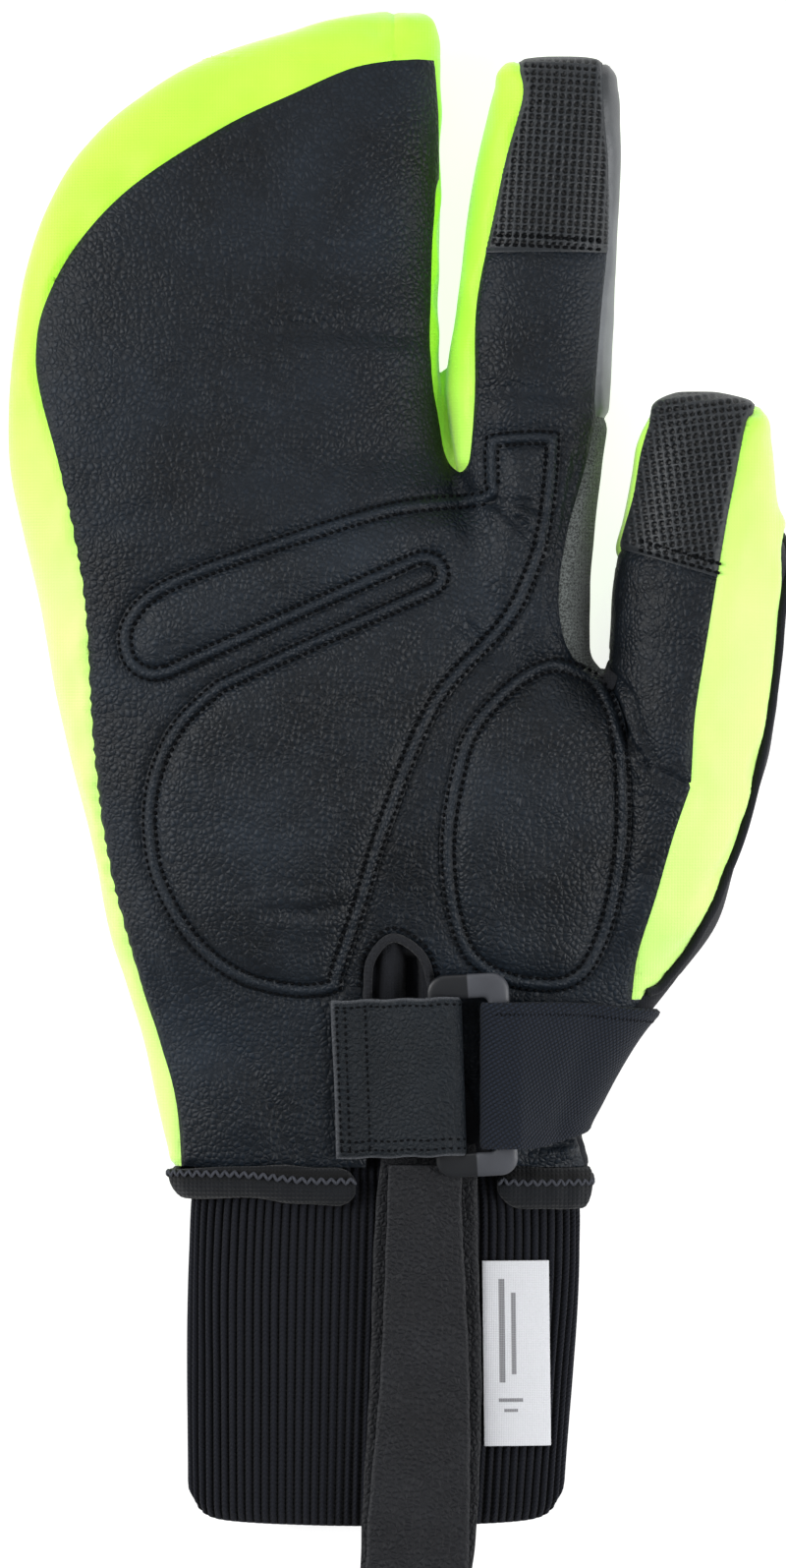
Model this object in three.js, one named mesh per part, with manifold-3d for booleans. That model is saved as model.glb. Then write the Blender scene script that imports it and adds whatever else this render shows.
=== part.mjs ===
// Trigger mitten for the right hand, lying on its back with the palm up.
// Millimetres. Fingers point along +Y, the thumb is at +X, the palm faces +Z and z = 0 is the
// surface that it lies on. The soft shell is a union of lofted digits, hollowed and cut into panels.
import * as THREE from "three";
import { mergeVertices } from "three/addons/utils/BufferGeometryUtils.js";
import Module from "manifold-3d";

const wasm = await Module();
wasm.setup();

// Driving sizes
const WALL = 2.0; // thickness of the soft shell
const GAP = 0.3; // clearance between neighbouring pieces
const SEAM = GAP / 2;
const SHELL_END = -69.4; // where the shell stops at the wrist
const HEM_END = -75.6; // lower edge of the rolled hem
const STRAP_TOP = -37.9;
const STRAP_BOTTOM = -65.4;
const STRAP_THICK = 1.7;
const WRIST_SLOPE = 0.135; // fall of the wrist front toward the cuff
const BUCKLE = {
  x: 14, y: -51.9, z: 29.9, wide: 15.4, high: 38.2, bar: 4, end: 4.6, thick: 2.4, tilt: 0.055,
};
const CUFF_WALL = 2.2;
const RIBS = 88;
const RIB_DEPTH = 0.9;
const PAD = { base: 1.3, crown: 2.3, bevel: 3.2 };
const PIPING_RADIUS = 1.1;
const LOOP_THICK = 1.3;
const LABEL = { left: 15.7, wide: 13, top: -87.1, bottom: -122.1, thick: 0.5, lean: 0.01 };
const THUMB_TIP_CUT = 43.3; // seam between the thumb's tip patch and its front
const FAR = 200;
const CEILING = 60; // above the whole glove

// Sections across each digit, from the wrist to the tip: side edges, lowest and highest points.
// power sets how square the section is.
const HAND = {
  power: 2.7,
  sides: 24,
  rows: [
    { y: -69.9, left: -42.5, right: 36.4, back: 2.0, front: 24.0 },
    { y: -57.0, left: -45.5, right: 37.0, back: 2.4, front: 25.7 },
    { y: -45.9, left: -47.9, right: 43.3, back: 2.4, front: 27.2 },
    { y: -36.6, left: -50.7, right: 50.2, back: 2.3, front: 28.7 },
    { y: -27.4, left: -53.6, right: 56.8, back: 0.2, front: 31.2 },
    { y: -12.6, left: -56.8, right: 61.5, back: -1.3, front: 34.5 },
    { y: 4.1, left: -60.9, right: 61.5, back: -1.5, front: 36.0 },
    { y: 13.3, left: -62.8, right: 55.0, back: -1.5, front: 36.2 },
    { y: 20.7, left: -64.4, right: 44.0, back: -1.5, front: 36.0 },
    { y: 27.0, left: -65.6, right: 34.5, back: -1.5, front: 35.8 },
    { y: 35.5, left: -67.3, right: 29.5, back: -1.5, front: 35.5 },
    { y: 50.3, left: -70.7, right: 19.8, back: -1.5, front: 34.8 },
    { y: 62.3, left: -73.0, right: 10.5, back: -1.3, front: 34.0 },
    { y: 72.5, left: -73.4, right: 8.3, back: -1.1, front: 33.2 },
    { y: 87.0, left: -72.4, right: 7.9, back: -0.6, front: 32.3 },
    { y: 100.0, left: -70.1, right: 7.9, back: 0.0, front: 31.2 },
    { y: 112.0, left: -65.7, right: 8.0, back: 0.8, front: 29.7 },
    { y: 122.5, left: -59.4, right: 8.0, back: 1.8, front: 28.0 },
    { y: 131.7, left: -50.1, right: 8.0, back: 2.8, front: 26.0 },
    { y: 139.1, left: -37.2, right: 7.8, back: 4.0, front: 23.5 },
    { y: 144.7, left: -20.9, right: 7.4, back: 5.8, front: 20.5 },
    { y: 147.4, left: -11.3, right: 6.0, back: 8.0, front: 17.6 },
    { y: 148.6, left: -3.4, right: 4.2, back: 10.5, front: 14.5 },
  ],
};
const INDEX = {
  power: 2.4,
  sides: 16,
  rows: [
    { y: 9.6, left: 18.4, right: 34.1, back: 5.0, front: 28.0 },
    { y: 24.0, left: 14.7, right: 35.8, back: -0.5, front: 33.0 },
    { y: 39.2, left: 12.9, right: 36.3, back: -1.0, front: 34.3 },
    { y: 62.3, left: 10.7, right: 38.5, back: -0.4, front: 32.8 },
    { y: 76.2, left: 9.2, right: 40.0, back: 0.3, front: 31.2 },
    { y: 98.4, left: 11.7, right: 41.1, back: 1.8, front: 29.2 },
    { y: 126.2, left: 16.6, right: 41.9, back: 4.5, front: 27.2 },
    { y: 133.6, left: 18.3, right: 41.6, back: 6.0, front: 26.0 },
    { y: 137.3, left: 19.6, right: 40.7, back: 8.0, front: 24.2 },
    { y: 138.9, left: 22.0, right: 38.7, back: 10.5, front: 22.0 },
    { y: 139.7, left: 25.9, right: 36.1, back: 14.0, front: 18.5 },
  ],
};
const THUMB = {
  power: 2.3,
  sides: 16,
  rows: [
    { y: -33.0, left: 35.0, right: 49.0, back: 6.0, front: 24.0 },
    { y: -27.4, left: 34.2, right: 56.4, back: 2.0, front: 29.0 },
    { y: -12.6, left: 36.1, right: 63.6, back: -0.3, front: 35.0 },
    { y: 4.0, left: 37.2, right: 68.5, back: 1.4, front: 38.0 },
    { y: 24.4, left: 39.6, right: 72.0, back: 3.8, front: 39.6 },
    { y: 40.0, left: 40.5, right: 73.1, back: 6.3, front: 39.5 },
    { y: 57.7, left: 43.5, right: 71.2, back: 9.8, front: 38.2 },
    { y: 67.0, left: 45.3, right: 70.1, back: 12.0, front: 37.0 },
    { y: 72.2, left: 47.2, right: 69.0, back: 14.5, front: 35.2 },
    { y: 74.8, left: 49.0, right: 65.8, back: 17.5, front: 33.0 },
    { y: 76.2, left: 52.0, right: 60.5, back: 21.5, front: 29.0 },
  ],
};
const DIGITS = [HAND, INDEX, THUMB];
const CUFF = {
  power: 2.5,
  sides: 48,
  rows: [
    { y: -138.0, left: -39.6, right: 31.2, back: 0.3, front: 15.0 },
    { y: -86.0, left: -39.3, right: 34.2, back: 0.2, front: 18.6 },
    { y: -76.0, left: -38.9, right: 34.2, back: 3.4, front: 20.6 },
    { y: -65.0, left: -37.6, right: 32.6, back: 5.6, front: 20.6 },
  ],
};
const HEM = {
  power: 2.6,
  sides: 32,
  rows: [
    { y: HEM_END, left: -40.2, right: 36.0, back: 1.4, front: 22.6 },
    { y: -74.6, left: -41.6, right: 37.3, back: 0.3, front: 23.7 },
    { y: -72.4, left: -42.4, right: 37.8, back: 0.0, front: 24.4 },
    { y: -70.8, left: -42.3, right: 37.6, back: 0.2, front: 24.3 },
    { y: SHELL_END - GAP, left: -41.6, right: 36.9, back: 0.9, front: 23.7 },
  ],
};

// Seam outlines, seen from above the palm
const PALM_SEAM = [
  [-41.1, -90], [-41.6, -60.7], [-45.1, -45.9], [-48.7, -34.8], [-54.6, -12.6], [-57.4, 9.6],
  [-59, 37.4], [-63.1, 59.6], [-67.5, 76.2], [-68.3, 84.5], [-66.6, 92.9], [-60.5, 104],
  [-49.8, 115.1], [-32.6, 126.2], [-19.4, 132.6], [-8.9, 137.3], [-0.9, 138.9], [3.7, 139.3],
];
const FOURCHETTE = [
  [22.8, 145], [22.8, 137.3], [23.3, 131.7], [20.2, 120.6], [17.8, 109.5], [14.4, 92.9],
  [14.1, 76.2], [13.2, 65.1], [12.4, 62.2], [11, 61.6], [9.3, 65.1], [8.3, 70.7], [7.2, 76.2],
  [6.7, 81.8], [6.5, 87.3], [6.7, 92.9], [7.0, 104], [7.4, 109.5], [7.7, 115], [9.5, 120], [15, 145],
];
const STRIP = [
  [38.6, 145], [39, 129.9], [39.9, 118.8], [39.9, 104], [38.8, 92.9], [37.5, 76.2], [37.7, 71.6],
  [44, 71.6], [44, 145],
];
const GUSSET_TIP = [[-0.7, 160], [-0.7, 138.9], [3.7, 139.2], [12, 139], [12, 160]];
const GUSSET_SIDE = [[4, 145], [4, 60], [12, 60], [8.9, 80], [9.5, 145]];
const CROTCH = [
  [37.7, 71.4], [36.1, 63.3], [33.3, 50.3], [31.4, 39.2], [32.4, 30], [35.4, 25.2], [38.6, 23.4],
  [38.9, 30], [39.2, 45], [43, 71.4],
];
const THUMB_FRONT = [
  [67.2, 90], [67.2, 74], [65.5, 70.7], [63.1, 59.6], [60.9, 48.5], [57.2, 26.3], [55.5, 15.2],
  [54.8, 2.2], [49, 5], [45.7, 12.4], [43.5, 19.8], [39.4, 24.4], [39.4, 30], [41, 50], [44, 90],
];
const BACK_THUMB = [
  [20, -90], [20, 14], [38, 25.5], [45, 31], [56, 39.5], [66, 46.5], [74, 50.2], [90, 51], [90, -90],
];
const THUMB_SIDE = [
  [54.8, 2.2], [51.6, -7], [48.5, -18], [45.2, -29.2], [44.2, -38.1], [90, -38.1], [90, 100],
  [40, 100], [41, 50], [41.8, 33], [46.5, 21], [51, 9],
];
const NOTCH = [
  [-6.1, -90], [-5.7, -36.6], [-5, -30.2], [-0.9, -26.1], [4.6, -29.6], [6.7, -36.6], [19.8, -71.8],
  [19.8, -90],
];
const HEM_NOTCH = [[-7.5, -90], [-7.5, -60], [18.6, -60], [19.6, -90]];
const WRIST_GUSSET = [[-10, -64.4], [-9.5, -24], [9, -24], [12, -36], [22, -64.4]];
const OVERLAY = [
  [14.8, 57.7], [-0.9, 55.9], [-19.4, 50.3], [-37.9, 43.8], [-47.2, 39.2], [-51.8, 33.7], [-52.7, 29],
  [-51.2, 24.4], [-47.2, 21.8], [-41.6, 22.6], [4, 43.2], [6, 42.2], [5.3, 40.5], [-39.8, 19.6],
  [-44.4, 13.3], [-47.5, 4.1], [-48.1, -7], [-46.2, -16.3], [-39.8, -27.4], [-30.5, -34.8],
  [-19.4, -37.6], [-11.1, -36.6], [-9.8, -32.9], [-5.5, -20], [-0.9, -5.2], [8.3, 17], [21.3, 31.8],
  [26, 40.6], [29, 50.3], [30.6, 65.5], [29.2, 69], [17.8, 68.6], [16, 66.4], [15.9, 59],
];
const THENAR = [
  [28.7, 26.6], [36.1, 24.6], [39.4, 21.6], [42.5, 14.2], [43.7, 2.2], [43.5, -8.9], [41.3, -21.8],
  [37.6, -31.4], [33.3, -35.6], [27.8, -36.6], [19.4, -35.2], [12.2, -30.2], [8.6, -20], [7.8, -7],
  [9.9, 5.9], [13, 14.2], [20.6, 22.6],
];
// The height from which each seam outline cuts upward. Those below 0 cut right through.
const CUT_FROM = {
  strip: -10, crotch: 6, gusset: 8, indexTip: 12, thumbFront: 23, thumbSide: -30, palm: 14, notch: 10,
  wristGusset: 12, hemNotch: 11,
};
const GUSSET_SIDE_TOP = 20;
const INDEX_TIP = { left: 10, right: 50, from: 102.5, to: 160 };

// Side profiles of the two band ends at the buckle: along X, and height in the plane of the wrist
const TAB_PROFILE = [
  [-12.4, -3.2], [-12.4, -0.6], [-4, 0], [2, 2.2], [4.5, 3], [11, 3], [12.6, 2], [13, 0], [12.6, -2],
  [11, -3.2],
];
const TAB_HIGH = 29.6;
const STRAP_PROFILE = [
  [15.2, -1], [15.5, -2.2], [17, -3.2], [30, -3.2], [30, -1.4], [26, 0.6], [22.5, 2.6], [19, 3],
  [16.6, 2.8], [15.4, 1.6],
];
// The strap starts beside the buckle in front, runs round the thumb's side and ends behind.
const STRAP_RUN = { frontFrom: 22, backTo: -44, turn: 12, overlap: 0.5 };

// Piping round the thumb base: its run in front, seen from above from the wrist up, and then its
// turn to the back as an angle round the thumb's section, 0 at the outer edge and -90 behind.
const PIPING_FRONT = [
  [47, -36.4], [49.7, -34.8], [54.1, -29.2], [57.3, -23.7], [60.1, -18.1], [64.3, -7], [67.2, 4.1],
  [69.5, 15.2], [71, 26.3], [72.1, 37.4],
];
const PIPING_BACK = [
  { y: 49.4, angle: -14 }, { y: 46, angle: -55 }, { y: 39, angle: -95 }, { y: 31, angle: -135 },
];
// The dark panel lies beyond and below the piping. Past the piping's ends its edge goes through
// these points (x, y, z).
const BACK_THUMB_EDGE = {
  wrist: [[36, -90, 13], [41, -46, 20]],
  top: [[72.3, 49.4, 21], [72.3, 60, 21]],
};
const BACK_THUMB_INNER = 31;

// Solids
function fromGeometry(geometry) {
  geometry.deleteAttribute("normal");
  geometry.deleteAttribute("uv");
  const merged = mergeVertices(geometry, 1e-3);
  const mesh = new wasm.Mesh({
    numProp: 3,
    vertProperties: new Float32Array(merged.attributes.position.array),
    triVerts: new Uint32Array(merged.index.array),
  });
  return new wasm.Manifold(mesh);
}

function toMesh(name, body, material) {
  const mesh = body.getMesh();
  const geometry = new THREE.BufferGeometry();
  geometry.setAttribute("position", new THREE.BufferAttribute(mesh.vertProperties, 3));
  geometry.setIndex(new THREE.BufferAttribute(mesh.triVerts, 1));
  const result = new THREE.Mesh(geometry, material);
  result.name = name;
  return result;
}

// The biggest of the bodies that a cut leaves.
function main(body) {
  return body.decompose().reduce((best, next) => (next.volume() > best.volume() ? next : best));
}

// A closed body through rings of equal point counts, each ring an array of Vector3.
function loft(rings) {
  const count = rings[0].length;
  const positions = rings.flat().flatMap((p) => [p.x, p.y, p.z]);
  const indices = [];
  rings.slice(1).forEach((_, row) => {
    for (let i = 0; i < count; i++) {
      const a = row * count + i;
      const b = row * count + ((i + 1) % count);
      indices.push(a, b, a + count, b, b + count, a + count);
    }
  });
  [0, rings.length - 1].forEach((row) => {
    const centre = rings[row].reduce((sum, p) => sum.add(p), new THREE.Vector3()).divideScalar(count);
    const hub = positions.length / 3;
    positions.push(centre.x, centre.y, centre.z);
    for (let i = 0; i < count; i++) {
      const a = row * count + i;
      const b = row * count + ((i + 1) % count);
      indices.push(...(row ? [hub, a, b] : [hub, b, a]));
    }
  });
  const geometry = new THREE.BufferGeometry();
  geometry.setAttribute("position", new THREE.Float32BufferAttribute(positions, 3));
  geometry.setIndex(indices);
  const body = fromGeometry(geometry);
  if (body.volume() > 0) return body;
  geometry.setIndex(indices.map((_, i) => indices[3 * Math.floor(i / 3) + 2 - (i % 3)]));
  return fromGeometry(geometry);
}

function prism(points, bottom, top) {
  const shape = new THREE.Shape(points.map(([x, y]) => new THREE.Vector2(x, y)));
  const geometry = new THREE.ExtrudeGeometry(shape, { depth: top - bottom, bevelEnabled: false });
  return fromGeometry(geometry.translate(0, 0, bottom));
}

function slab(x0, x1, y0, y1, z0, z1) {
  const geometry = new THREE.BoxGeometry(x1 - x0, y1 - y0, z1 - z0);
  return fromGeometry(geometry.translate((x0 + x1) / 2, (y0 + y1) / 2, (z0 + z1) / 2));
}

// The outline moved outward by a distance, inward if it is negative.
function offset(points, distance) {
  const turn = Math.sign(THREE.ShapeUtils.area(points.map(([x, y]) => new THREE.Vector2(x, y))));
  const count = points.length;
  return points.map((point, i) => {
    const here = new THREE.Vector2(...point);
    const before = new THREE.Vector2(...points[(i + count - 1) % count]);
    const after = new THREE.Vector2(...points[(i + 1) % count]);
    const arrive = here.clone().sub(before).normalize();
    const leave = after.sub(here).normalize();
    const along = arrive.add(leave).normalize();
    const across = new THREE.Vector2(along.y, -along.x).multiplyScalar(turn);
    const miter = Math.max(0.5, Math.abs(across.dot(new THREE.Vector2(leave.y, -leave.x))));
    return [here.x + (across.x * distance) / miter, here.y + (across.y * distance) / miter];
  });
}

// Digit sections
function rowAt(digit, y) {
  const rows = digit.rows;
  const i = Math.min(Math.max(rows.findIndex((row) => row.y > y), 1), rows.length - 1);
  const [low, high] = [rows[i - 1], rows[i]];
  const t = THREE.MathUtils.clamp((y - low.y) / (high.y - low.y), 0, 1);
  const mix = (key) => THREE.MathUtils.lerp(low[key], high[key], t);
  return { y, left: mix("left"), right: mix("right"), back: mix("back"), front: mix("front") };
}

// A point on a digit's section, moved outward by grow. Angle 0 is the thumb side, 90 the palm.
function sectionPoint(digit, row, degrees, grow = 0) {
  const angle = THREE.MathUtils.degToRad(degrees);
  const halfWide = (row.right - row.left) / 2;
  const halfHigh = (row.front - row.back) / 2;
  const round = (v) => Math.sign(v) * Math.abs(v) ** (2 / digit.power);
  const x = (row.left + row.right) / 2 + (halfWide + grow) * round(Math.cos(angle));
  const z = (row.back + row.front) / 2 + (halfHigh + grow) * round(Math.sin(angle));
  return new THREE.Vector3(x, row.y, Math.max(z, -grow));
}

function ring(digit, row, grow) {
  const step = 360 / digit.sides;
  return Array.from({ length: digit.sides }, (_, i) => sectionPoint(digit, row, step * i, grow));
}

// The digit's loft, moved outward by grow, or inward with its tip drawn back if grow is negative.
function digitBody(digit, grow, reach = 0) {
  const tip = digit.rows.at(-1).y;
  const tipLength = 16;
  const least = 1 - 2 * grow;
  const rows = digit.rows.map((row, i) => {
    const near = THREE.MathUtils.smoothstep(row.y, tip - tipLength, tip);
    return { ...row, y: row.y + grow * near - (i ? 0 : reach) };
  });
  const wide = rows.filter((row) => row.right - row.left > least && row.front - row.back > least);
  return loft(wide.map((row) => ring(digit, row, grow)));
}

function allDigits(grow) {
  return DIGITS.map((digit) => digitBody(digit, grow)).reduce((a, b) => a.add(b));
}

// The room inside the shell, through every second section and open past the wrist. It has fewer
// sides, and the half side keeps its corners out of line with the outer ones.
function hollow() {
  const pastWrist = 12;
  const plain = DIGITS.map((digit) => {
    const rows = digit.rows.filter((_, i) => i % 2 === 0);
    const sides = 0.75 * digit.sides + 0.5;
    return digitBody({ ...digit, sides, rows }, -WALL, digit === HAND ? pastWrist : 0);
  });
  return plain.reduce((a, b) => a.add(b));
}

function thumbCentre(y) {
  const { left, right, back, front } = rowAt(THUMB, y);
  return new THREE.Vector3((left + right) / 2, y, (back + front) / 2);
}

// The point where a ray from the thumb's centre line leaves the glove.
function outerPoint(y, degrees) {
  const row = rowAt(THUMB, y);
  const centre = thumbCentre(y);
  const ray = sectionPoint(THUMB, row, degrees).sub(centre).normalize();
  const inside = ({ x, z }) => DIGITS.some((digit) => {
    const { left, right, back, front } = rowAt(digit, y);
    const across = Math.abs((2 * x - left - right) / (right - left)) ** digit.power;
    return across + Math.abs((2 * z - back - front) / (front - back)) ** digit.power < 1;
  });
  const step = 0.1;
  let reach = 0;
  while (inside(centre.clone().addScaledVector(ray, reach + step))) reach += step;
  return { point: centre.addScaledVector(ray, reach), ray };
}

// The height of the palm side over a point
function frontHeight(x, y) {
  const crossed = DIGITS.filter(({ rows }) => y >= rows[0].y && y <= rows.at(-1).y);
  const heights = crossed.map((digit) => {
    const { left, right, back, front } = rowAt(digit, y);
    const across = Math.abs((2 * x - left - right) / (right - left));
    const rise = Math.max(0, 1 - across ** digit.power) ** (1 / digit.power);
    return (back + front) / 2 + (rise * (front - back)) / 2;
  });
  return Math.max(...heights);
}

// Cutting bodies for the panels, each one a function of how far it is widened
function upright(outline, bottom) {
  return (grow) => prism(offset(outline, grow), bottom - grow, CEILING);
}
const indexStripKnife = upright(STRIP, CUT_FROM.strip);
const crotchKnife = upright(CROTCH, CUT_FROM.crotch);
const gussetTipKnife = upright(GUSSET_TIP, CUT_FROM.gusset);
const fourchetteKnife = upright(FOURCHETTE, CUT_FROM.strip);
const thumbFrontKnife = upright(THUMB_FRONT, CUT_FROM.thumbFront);
const thumbSideKnife = upright(THUMB_SIDE, CUT_FROM.thumbSide);
const palmKnife = upright([...PALM_SEAM, [70, 139.3], [90, 100], [90, -90]], CUT_FROM.palm);

function indexTipKnife(grow) {
  const { left, right, from, to } = INDEX_TIP;
  return slab(left, right, from - grow, to, CUT_FROM.indexTip - grow, CEILING);
}

function gussetKnife(grow) {
  const side = prism(offset(GUSSET_SIDE, grow), CUT_FROM.gusset - grow, GUSSET_SIDE_TOP + grow);
  return gussetTipKnife(grow).add(side).add(fourchetteKnife(grow));
}

// The dark panel behind the thumb base: beyond and below the piping, down to the hem.
function backThumbKnife(grow) {
  const { wrist, top } = BACK_THUMB_EDGE;
  const piping = PIPING_FRONT.map(([x, y]) => [x, y, frontHeight(x, y)]);
  const left = BACK_THUMB_INNER - grow;
  const rings = [...wrist, ...piping, ...top].map(([edgeX, y, edgeZ]) => {
    const [x, z] = [edgeX - grow, edgeZ + grow];
    return [[x, z], [x, CEILING], [FAR, CEILING], [FAR, -FAR], [left, -FAR], [left, z]].map(
      ([px, pz]) => new THREE.Vector3(px, y, pz),
    );
  });
  return loft(rings).intersect(prism(offset(BACK_THUMB, grow), -FAR, CEILING));
}

// The shell, cut into panels in the order in which they lie over each other
function makePanels() {
  const wristCut = slab(-FAR, FAR, -FAR, SHELL_END, -FAR, FAR);
  let rest = allDigits(0).subtract(hollow()).subtract(wristCut);
  const take = (knife) => {
    const piece = main(rest.intersect(knife(-SEAM)));
    rest = rest.subtract(knife(SEAM));
    return piece;
  };
  const panels = {
    index_side_strip: take(indexStripKnife),
    crotch_gusset: take(crotchKnife),
    finger_gusset: take(gussetKnife),
    index_tip_patch: take(indexTipKnife),
  };
  const thumbFront = take(thumbFrontKnife);
  const belowTip = slab(-FAR, FAR, -FAR, THUMB_TIP_CUT + SEAM, -FAR, FAR);
  const tip = slab(-FAR, FAR, THUMB_TIP_CUT - SEAM, FAR, -FAR, FAR);
  panels.thumb_tip_patch = main(thumbFront.subtract(belowTip));
  panels.thumb_front = main(thumbFront.subtract(tip));
  panels.back_thumb_panel = take(backThumbKnife);
  panels.thumb_side_panel = take(thumbSideKnife);
  panels.palm_panel = main(take(palmKnife).subtract(prism(NOTCH, CUT_FROM.notch, CEILING)));
  panels.back_shell = main(rest);
  return panels;
}

// A padded layer over the palm with a raised, inset crown
function makePad(outline, grown, keepOut) {
  const wide = prism(outline, CUT_FROM.palm, CEILING);
  const narrow = prism(offset(outline, -PAD.bevel), CUT_FROM.palm, CEILING);
  const base = allDigits(PAD.base).subtract(grown).intersect(wide);
  const crown = allDigits(PAD.crown).subtract(grown).intersect(narrow);
  return main(base.add(crown).subtract(keepOut));
}

// The cloth behind the keyhole in the palm, just inside the shell
function makeWristGusset() {
  const clear = 0.7;
  const thick = 1.2;
  const outer = digitBody(HAND, -WALL - clear);
  const inner = digitBody(HAND, -WALL - clear - thick, 4);
  return main(outer.subtract(inner).intersect(prism(WRIST_GUSSET, CUT_FROM.wristGusset, CEILING)));
}

// Wrist hem, cuff and label
function cuffBody(grow, rows) {
  return loft(rows.map((row) => ring(CUFF, row, grow)));
}

function makeHem() {
  const row = CUFF.rows[2];
  const inside = cuffBody(GAP + RIB_DEPTH / 2, [{ ...row, y: -90 }, row, { ...row, y: -60 }]);
  const outside = loft(HEM.rows.map((section) => ring(HEM, section, 0)));
  return main(outside.subtract(inside).subtract(prism(HEM_NOTCH, CUT_FROM.hemNotch, CEILING)));
}

function makeCuff() {
  const points = RIBS * 2;
  const rings = CUFF.rows.map((row) =>
    Array.from({ length: points }, (_, i) => {
      const rib = i % 2 ? -RIB_DEPTH / 2 : RIB_DEPTH / 2;
      const p = sectionPoint(CUFF, row, (360 * i) / points, rib);
      return p.setZ(Math.max(p.z, row.back + (rib < 0 ? RIB_DEPTH : 0)));
    }),
  );
  const boreSides = 30;
  const bore = CUFF.rows.map((row) => ring({ ...CUFF, sides: boreSides }, row, -CUFF_WALL));
  const longer = (list, distance) => list.map((p) => p.clone().setY(p.y + distance));
  const inner = loft([longer(bore[0], -5), ...bore, longer(bore.at(-1), 5)]);
  const corner = 5;
  const end = CUFF.rows[0].y;
  const { left, right } = rowAt(CUFF, end);
  const outline = new THREE.Shape();
  outline.moveTo(-FAR, 0).lineTo(-FAR, end + corner).lineTo(left - 1, end + corner);
  outline.quadraticCurveTo(left, end + 0.2, left + corner, end).lineTo(right - corner, end);
  outline.quadraticCurveTo(right, end + 0.2, right + 1, end + corner);
  outline.lineTo(FAR, end + corner).lineTo(FAR, 0);
  const trim = prism(outline.getPoints(4).map((p) => [p.x, p.y]), -5, CEILING);
  return main(loft(rings).subtract(inner).intersect(trim));
}

function makeLabel() {
  const { left, wide, top, bottom, thick, lean } = LABEL;
  const steps = 5;
  const lift = RIB_DEPTH / 2 + GAP;
  const rings = [top, (2 * top + bottom) / 3, (top + 2 * bottom) / 3, bottom].map((y) => {
    const surface = (t, rise) => {
      const row = rowAt(CUFF, y);
      const x = left + lean * (top - y) + wide * t;
      const across = Math.abs((2 * x - row.left - row.right) / (row.right - row.left + 2 * lift));
      const half = (row.front - row.back) / 2 + lift;
      const z = (row.front + row.back) / 2 + half * (1 - across ** CUFF.power) ** (1 / CUFF.power);
      return new THREE.Vector3(x, y, z + rise);
    };
    const under = Array.from({ length: steps }, (_, i) => surface(i / (steps - 1), 0));
    const over = Array.from({ length: steps }, (_, i) => surface(1 - i / (steps - 1), thick));
    return [...under, ...over];
  });
  return loft(rings);
}

// Pull loop: one strip that runs down, folds at its end and comes back on top of itself.
const LOOP = [
  { y: -64.5, x: 5.8, z: 23.6, wide: 17.5 },
  { y: -71.0, x: 5.8, z: 22.8, wide: 18.5 },
  { y: -78.0, x: 5.6, z: 21.6, wide: 19.2 },
  { y: -90.0, x: 5.4, z: 19.6, wide: 20.0 },
  { y: -112.0, x: 5.0, z: 18.1, wide: 21.2 },
  { y: -134.0, x: 4.4, z: 17.0, wide: 21.8 },
  { y: -146.0, x: 3.6, z: 16.8, wide: 21.0 },
  { y: -148.2, x: 3.6, z: 18.4, wide: 20.5 },
  { y: -146.2, x: 3.7, z: 20.2, wide: 19.4 },
  { y: -134.0, x: 4.2, z: 20.6, wide: 19.0 },
  { y: -112.0, x: 4.8, z: 21.4, wide: 17.0 },
  { y: -90.0, x: 5.2, z: 22.8, wide: 15.0 },
  { y: -78.0, x: 5.2, z: 24.5, wide: 14.0 },
  { y: -68.4, x: 5.2, z: 25.6, wide: 13.8 },
];
function makeLoop() {
  const rings = LOOP.map(({ x, y, z, wide }, i) => {
    const before = LOOP[Math.max(i - 1, 0)];
    const after = LOOP[Math.min(i + 1, LOOP.length - 1)];
    const across = new THREE.Vector2(before.z - after.z, after.y - before.y).setLength(LOOP_THICK / 2);
    return [[-1, 1], [1, 1], [1, -1], [-1, -1]].map(([side, face]) => {
      const edge = x + (side * wide) / 2;
      return new THREE.Vector3(edge, y + face * across.x, z + face * across.y);
    });
  });
  return loft(rings);
}

// Strap, buckle and tab, in the sloping plane of the wrist front
function inWristPlane(geometry) {
  geometry.rotateZ(BUCKLE.tilt);
  geometry.rotateX(Math.atan(WRIST_SLOPE));
  return geometry.translate(BUCKLE.x, BUCKLE.y, BUCKLE.z);
}

function roundedRect(target, wide, high, radius) {
  const [x, y] = [wide / 2, high / 2];
  target.moveTo(-x + radius, -y).lineTo(x - radius, -y).quadraticCurveTo(x, -y, x, -y + radius);
  target.lineTo(x, y - radius).quadraticCurveTo(x, y, x - radius, y).lineTo(-x + radius, y);
  target.quadraticCurveTo(-x, y, -x, y - radius).lineTo(-x, -y + radius);
  return target.quadraticCurveTo(-x, -y, -x + radius, -y);
}

function makeBuckle(grow = 0) {
  const { wide, high, bar, end, thick } = BUCKLE;
  const bevel = 0.4;
  const cornerRadius = 3;
  const holeRadius = 0.8;
  const shape = roundedRect(new THREE.Shape(), wide + 2 * grow, high + 2 * grow, cornerRadius);
  const holeWide = wide - 2 * bar - 2 * grow;
  const holeHigh = high - 2 * end - 2 * grow;
  shape.holes.push(roundedRect(new THREE.Path(), holeWide, holeHigh, holeRadius));
  const geometry = new THREE.ExtrudeGeometry(shape, {
    depth: thick - 2 * bevel + 2 * grow,
    bevelThickness: bevel,
    bevelSize: bevel,
    bevelOffset: -bevel,
    bevelSegments: 1,
    curveSegments: 4,
  });
  return fromGeometry(inWristPlane(geometry.translate(0, 0, -thick / 2 + bevel - grow)));
}

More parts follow.
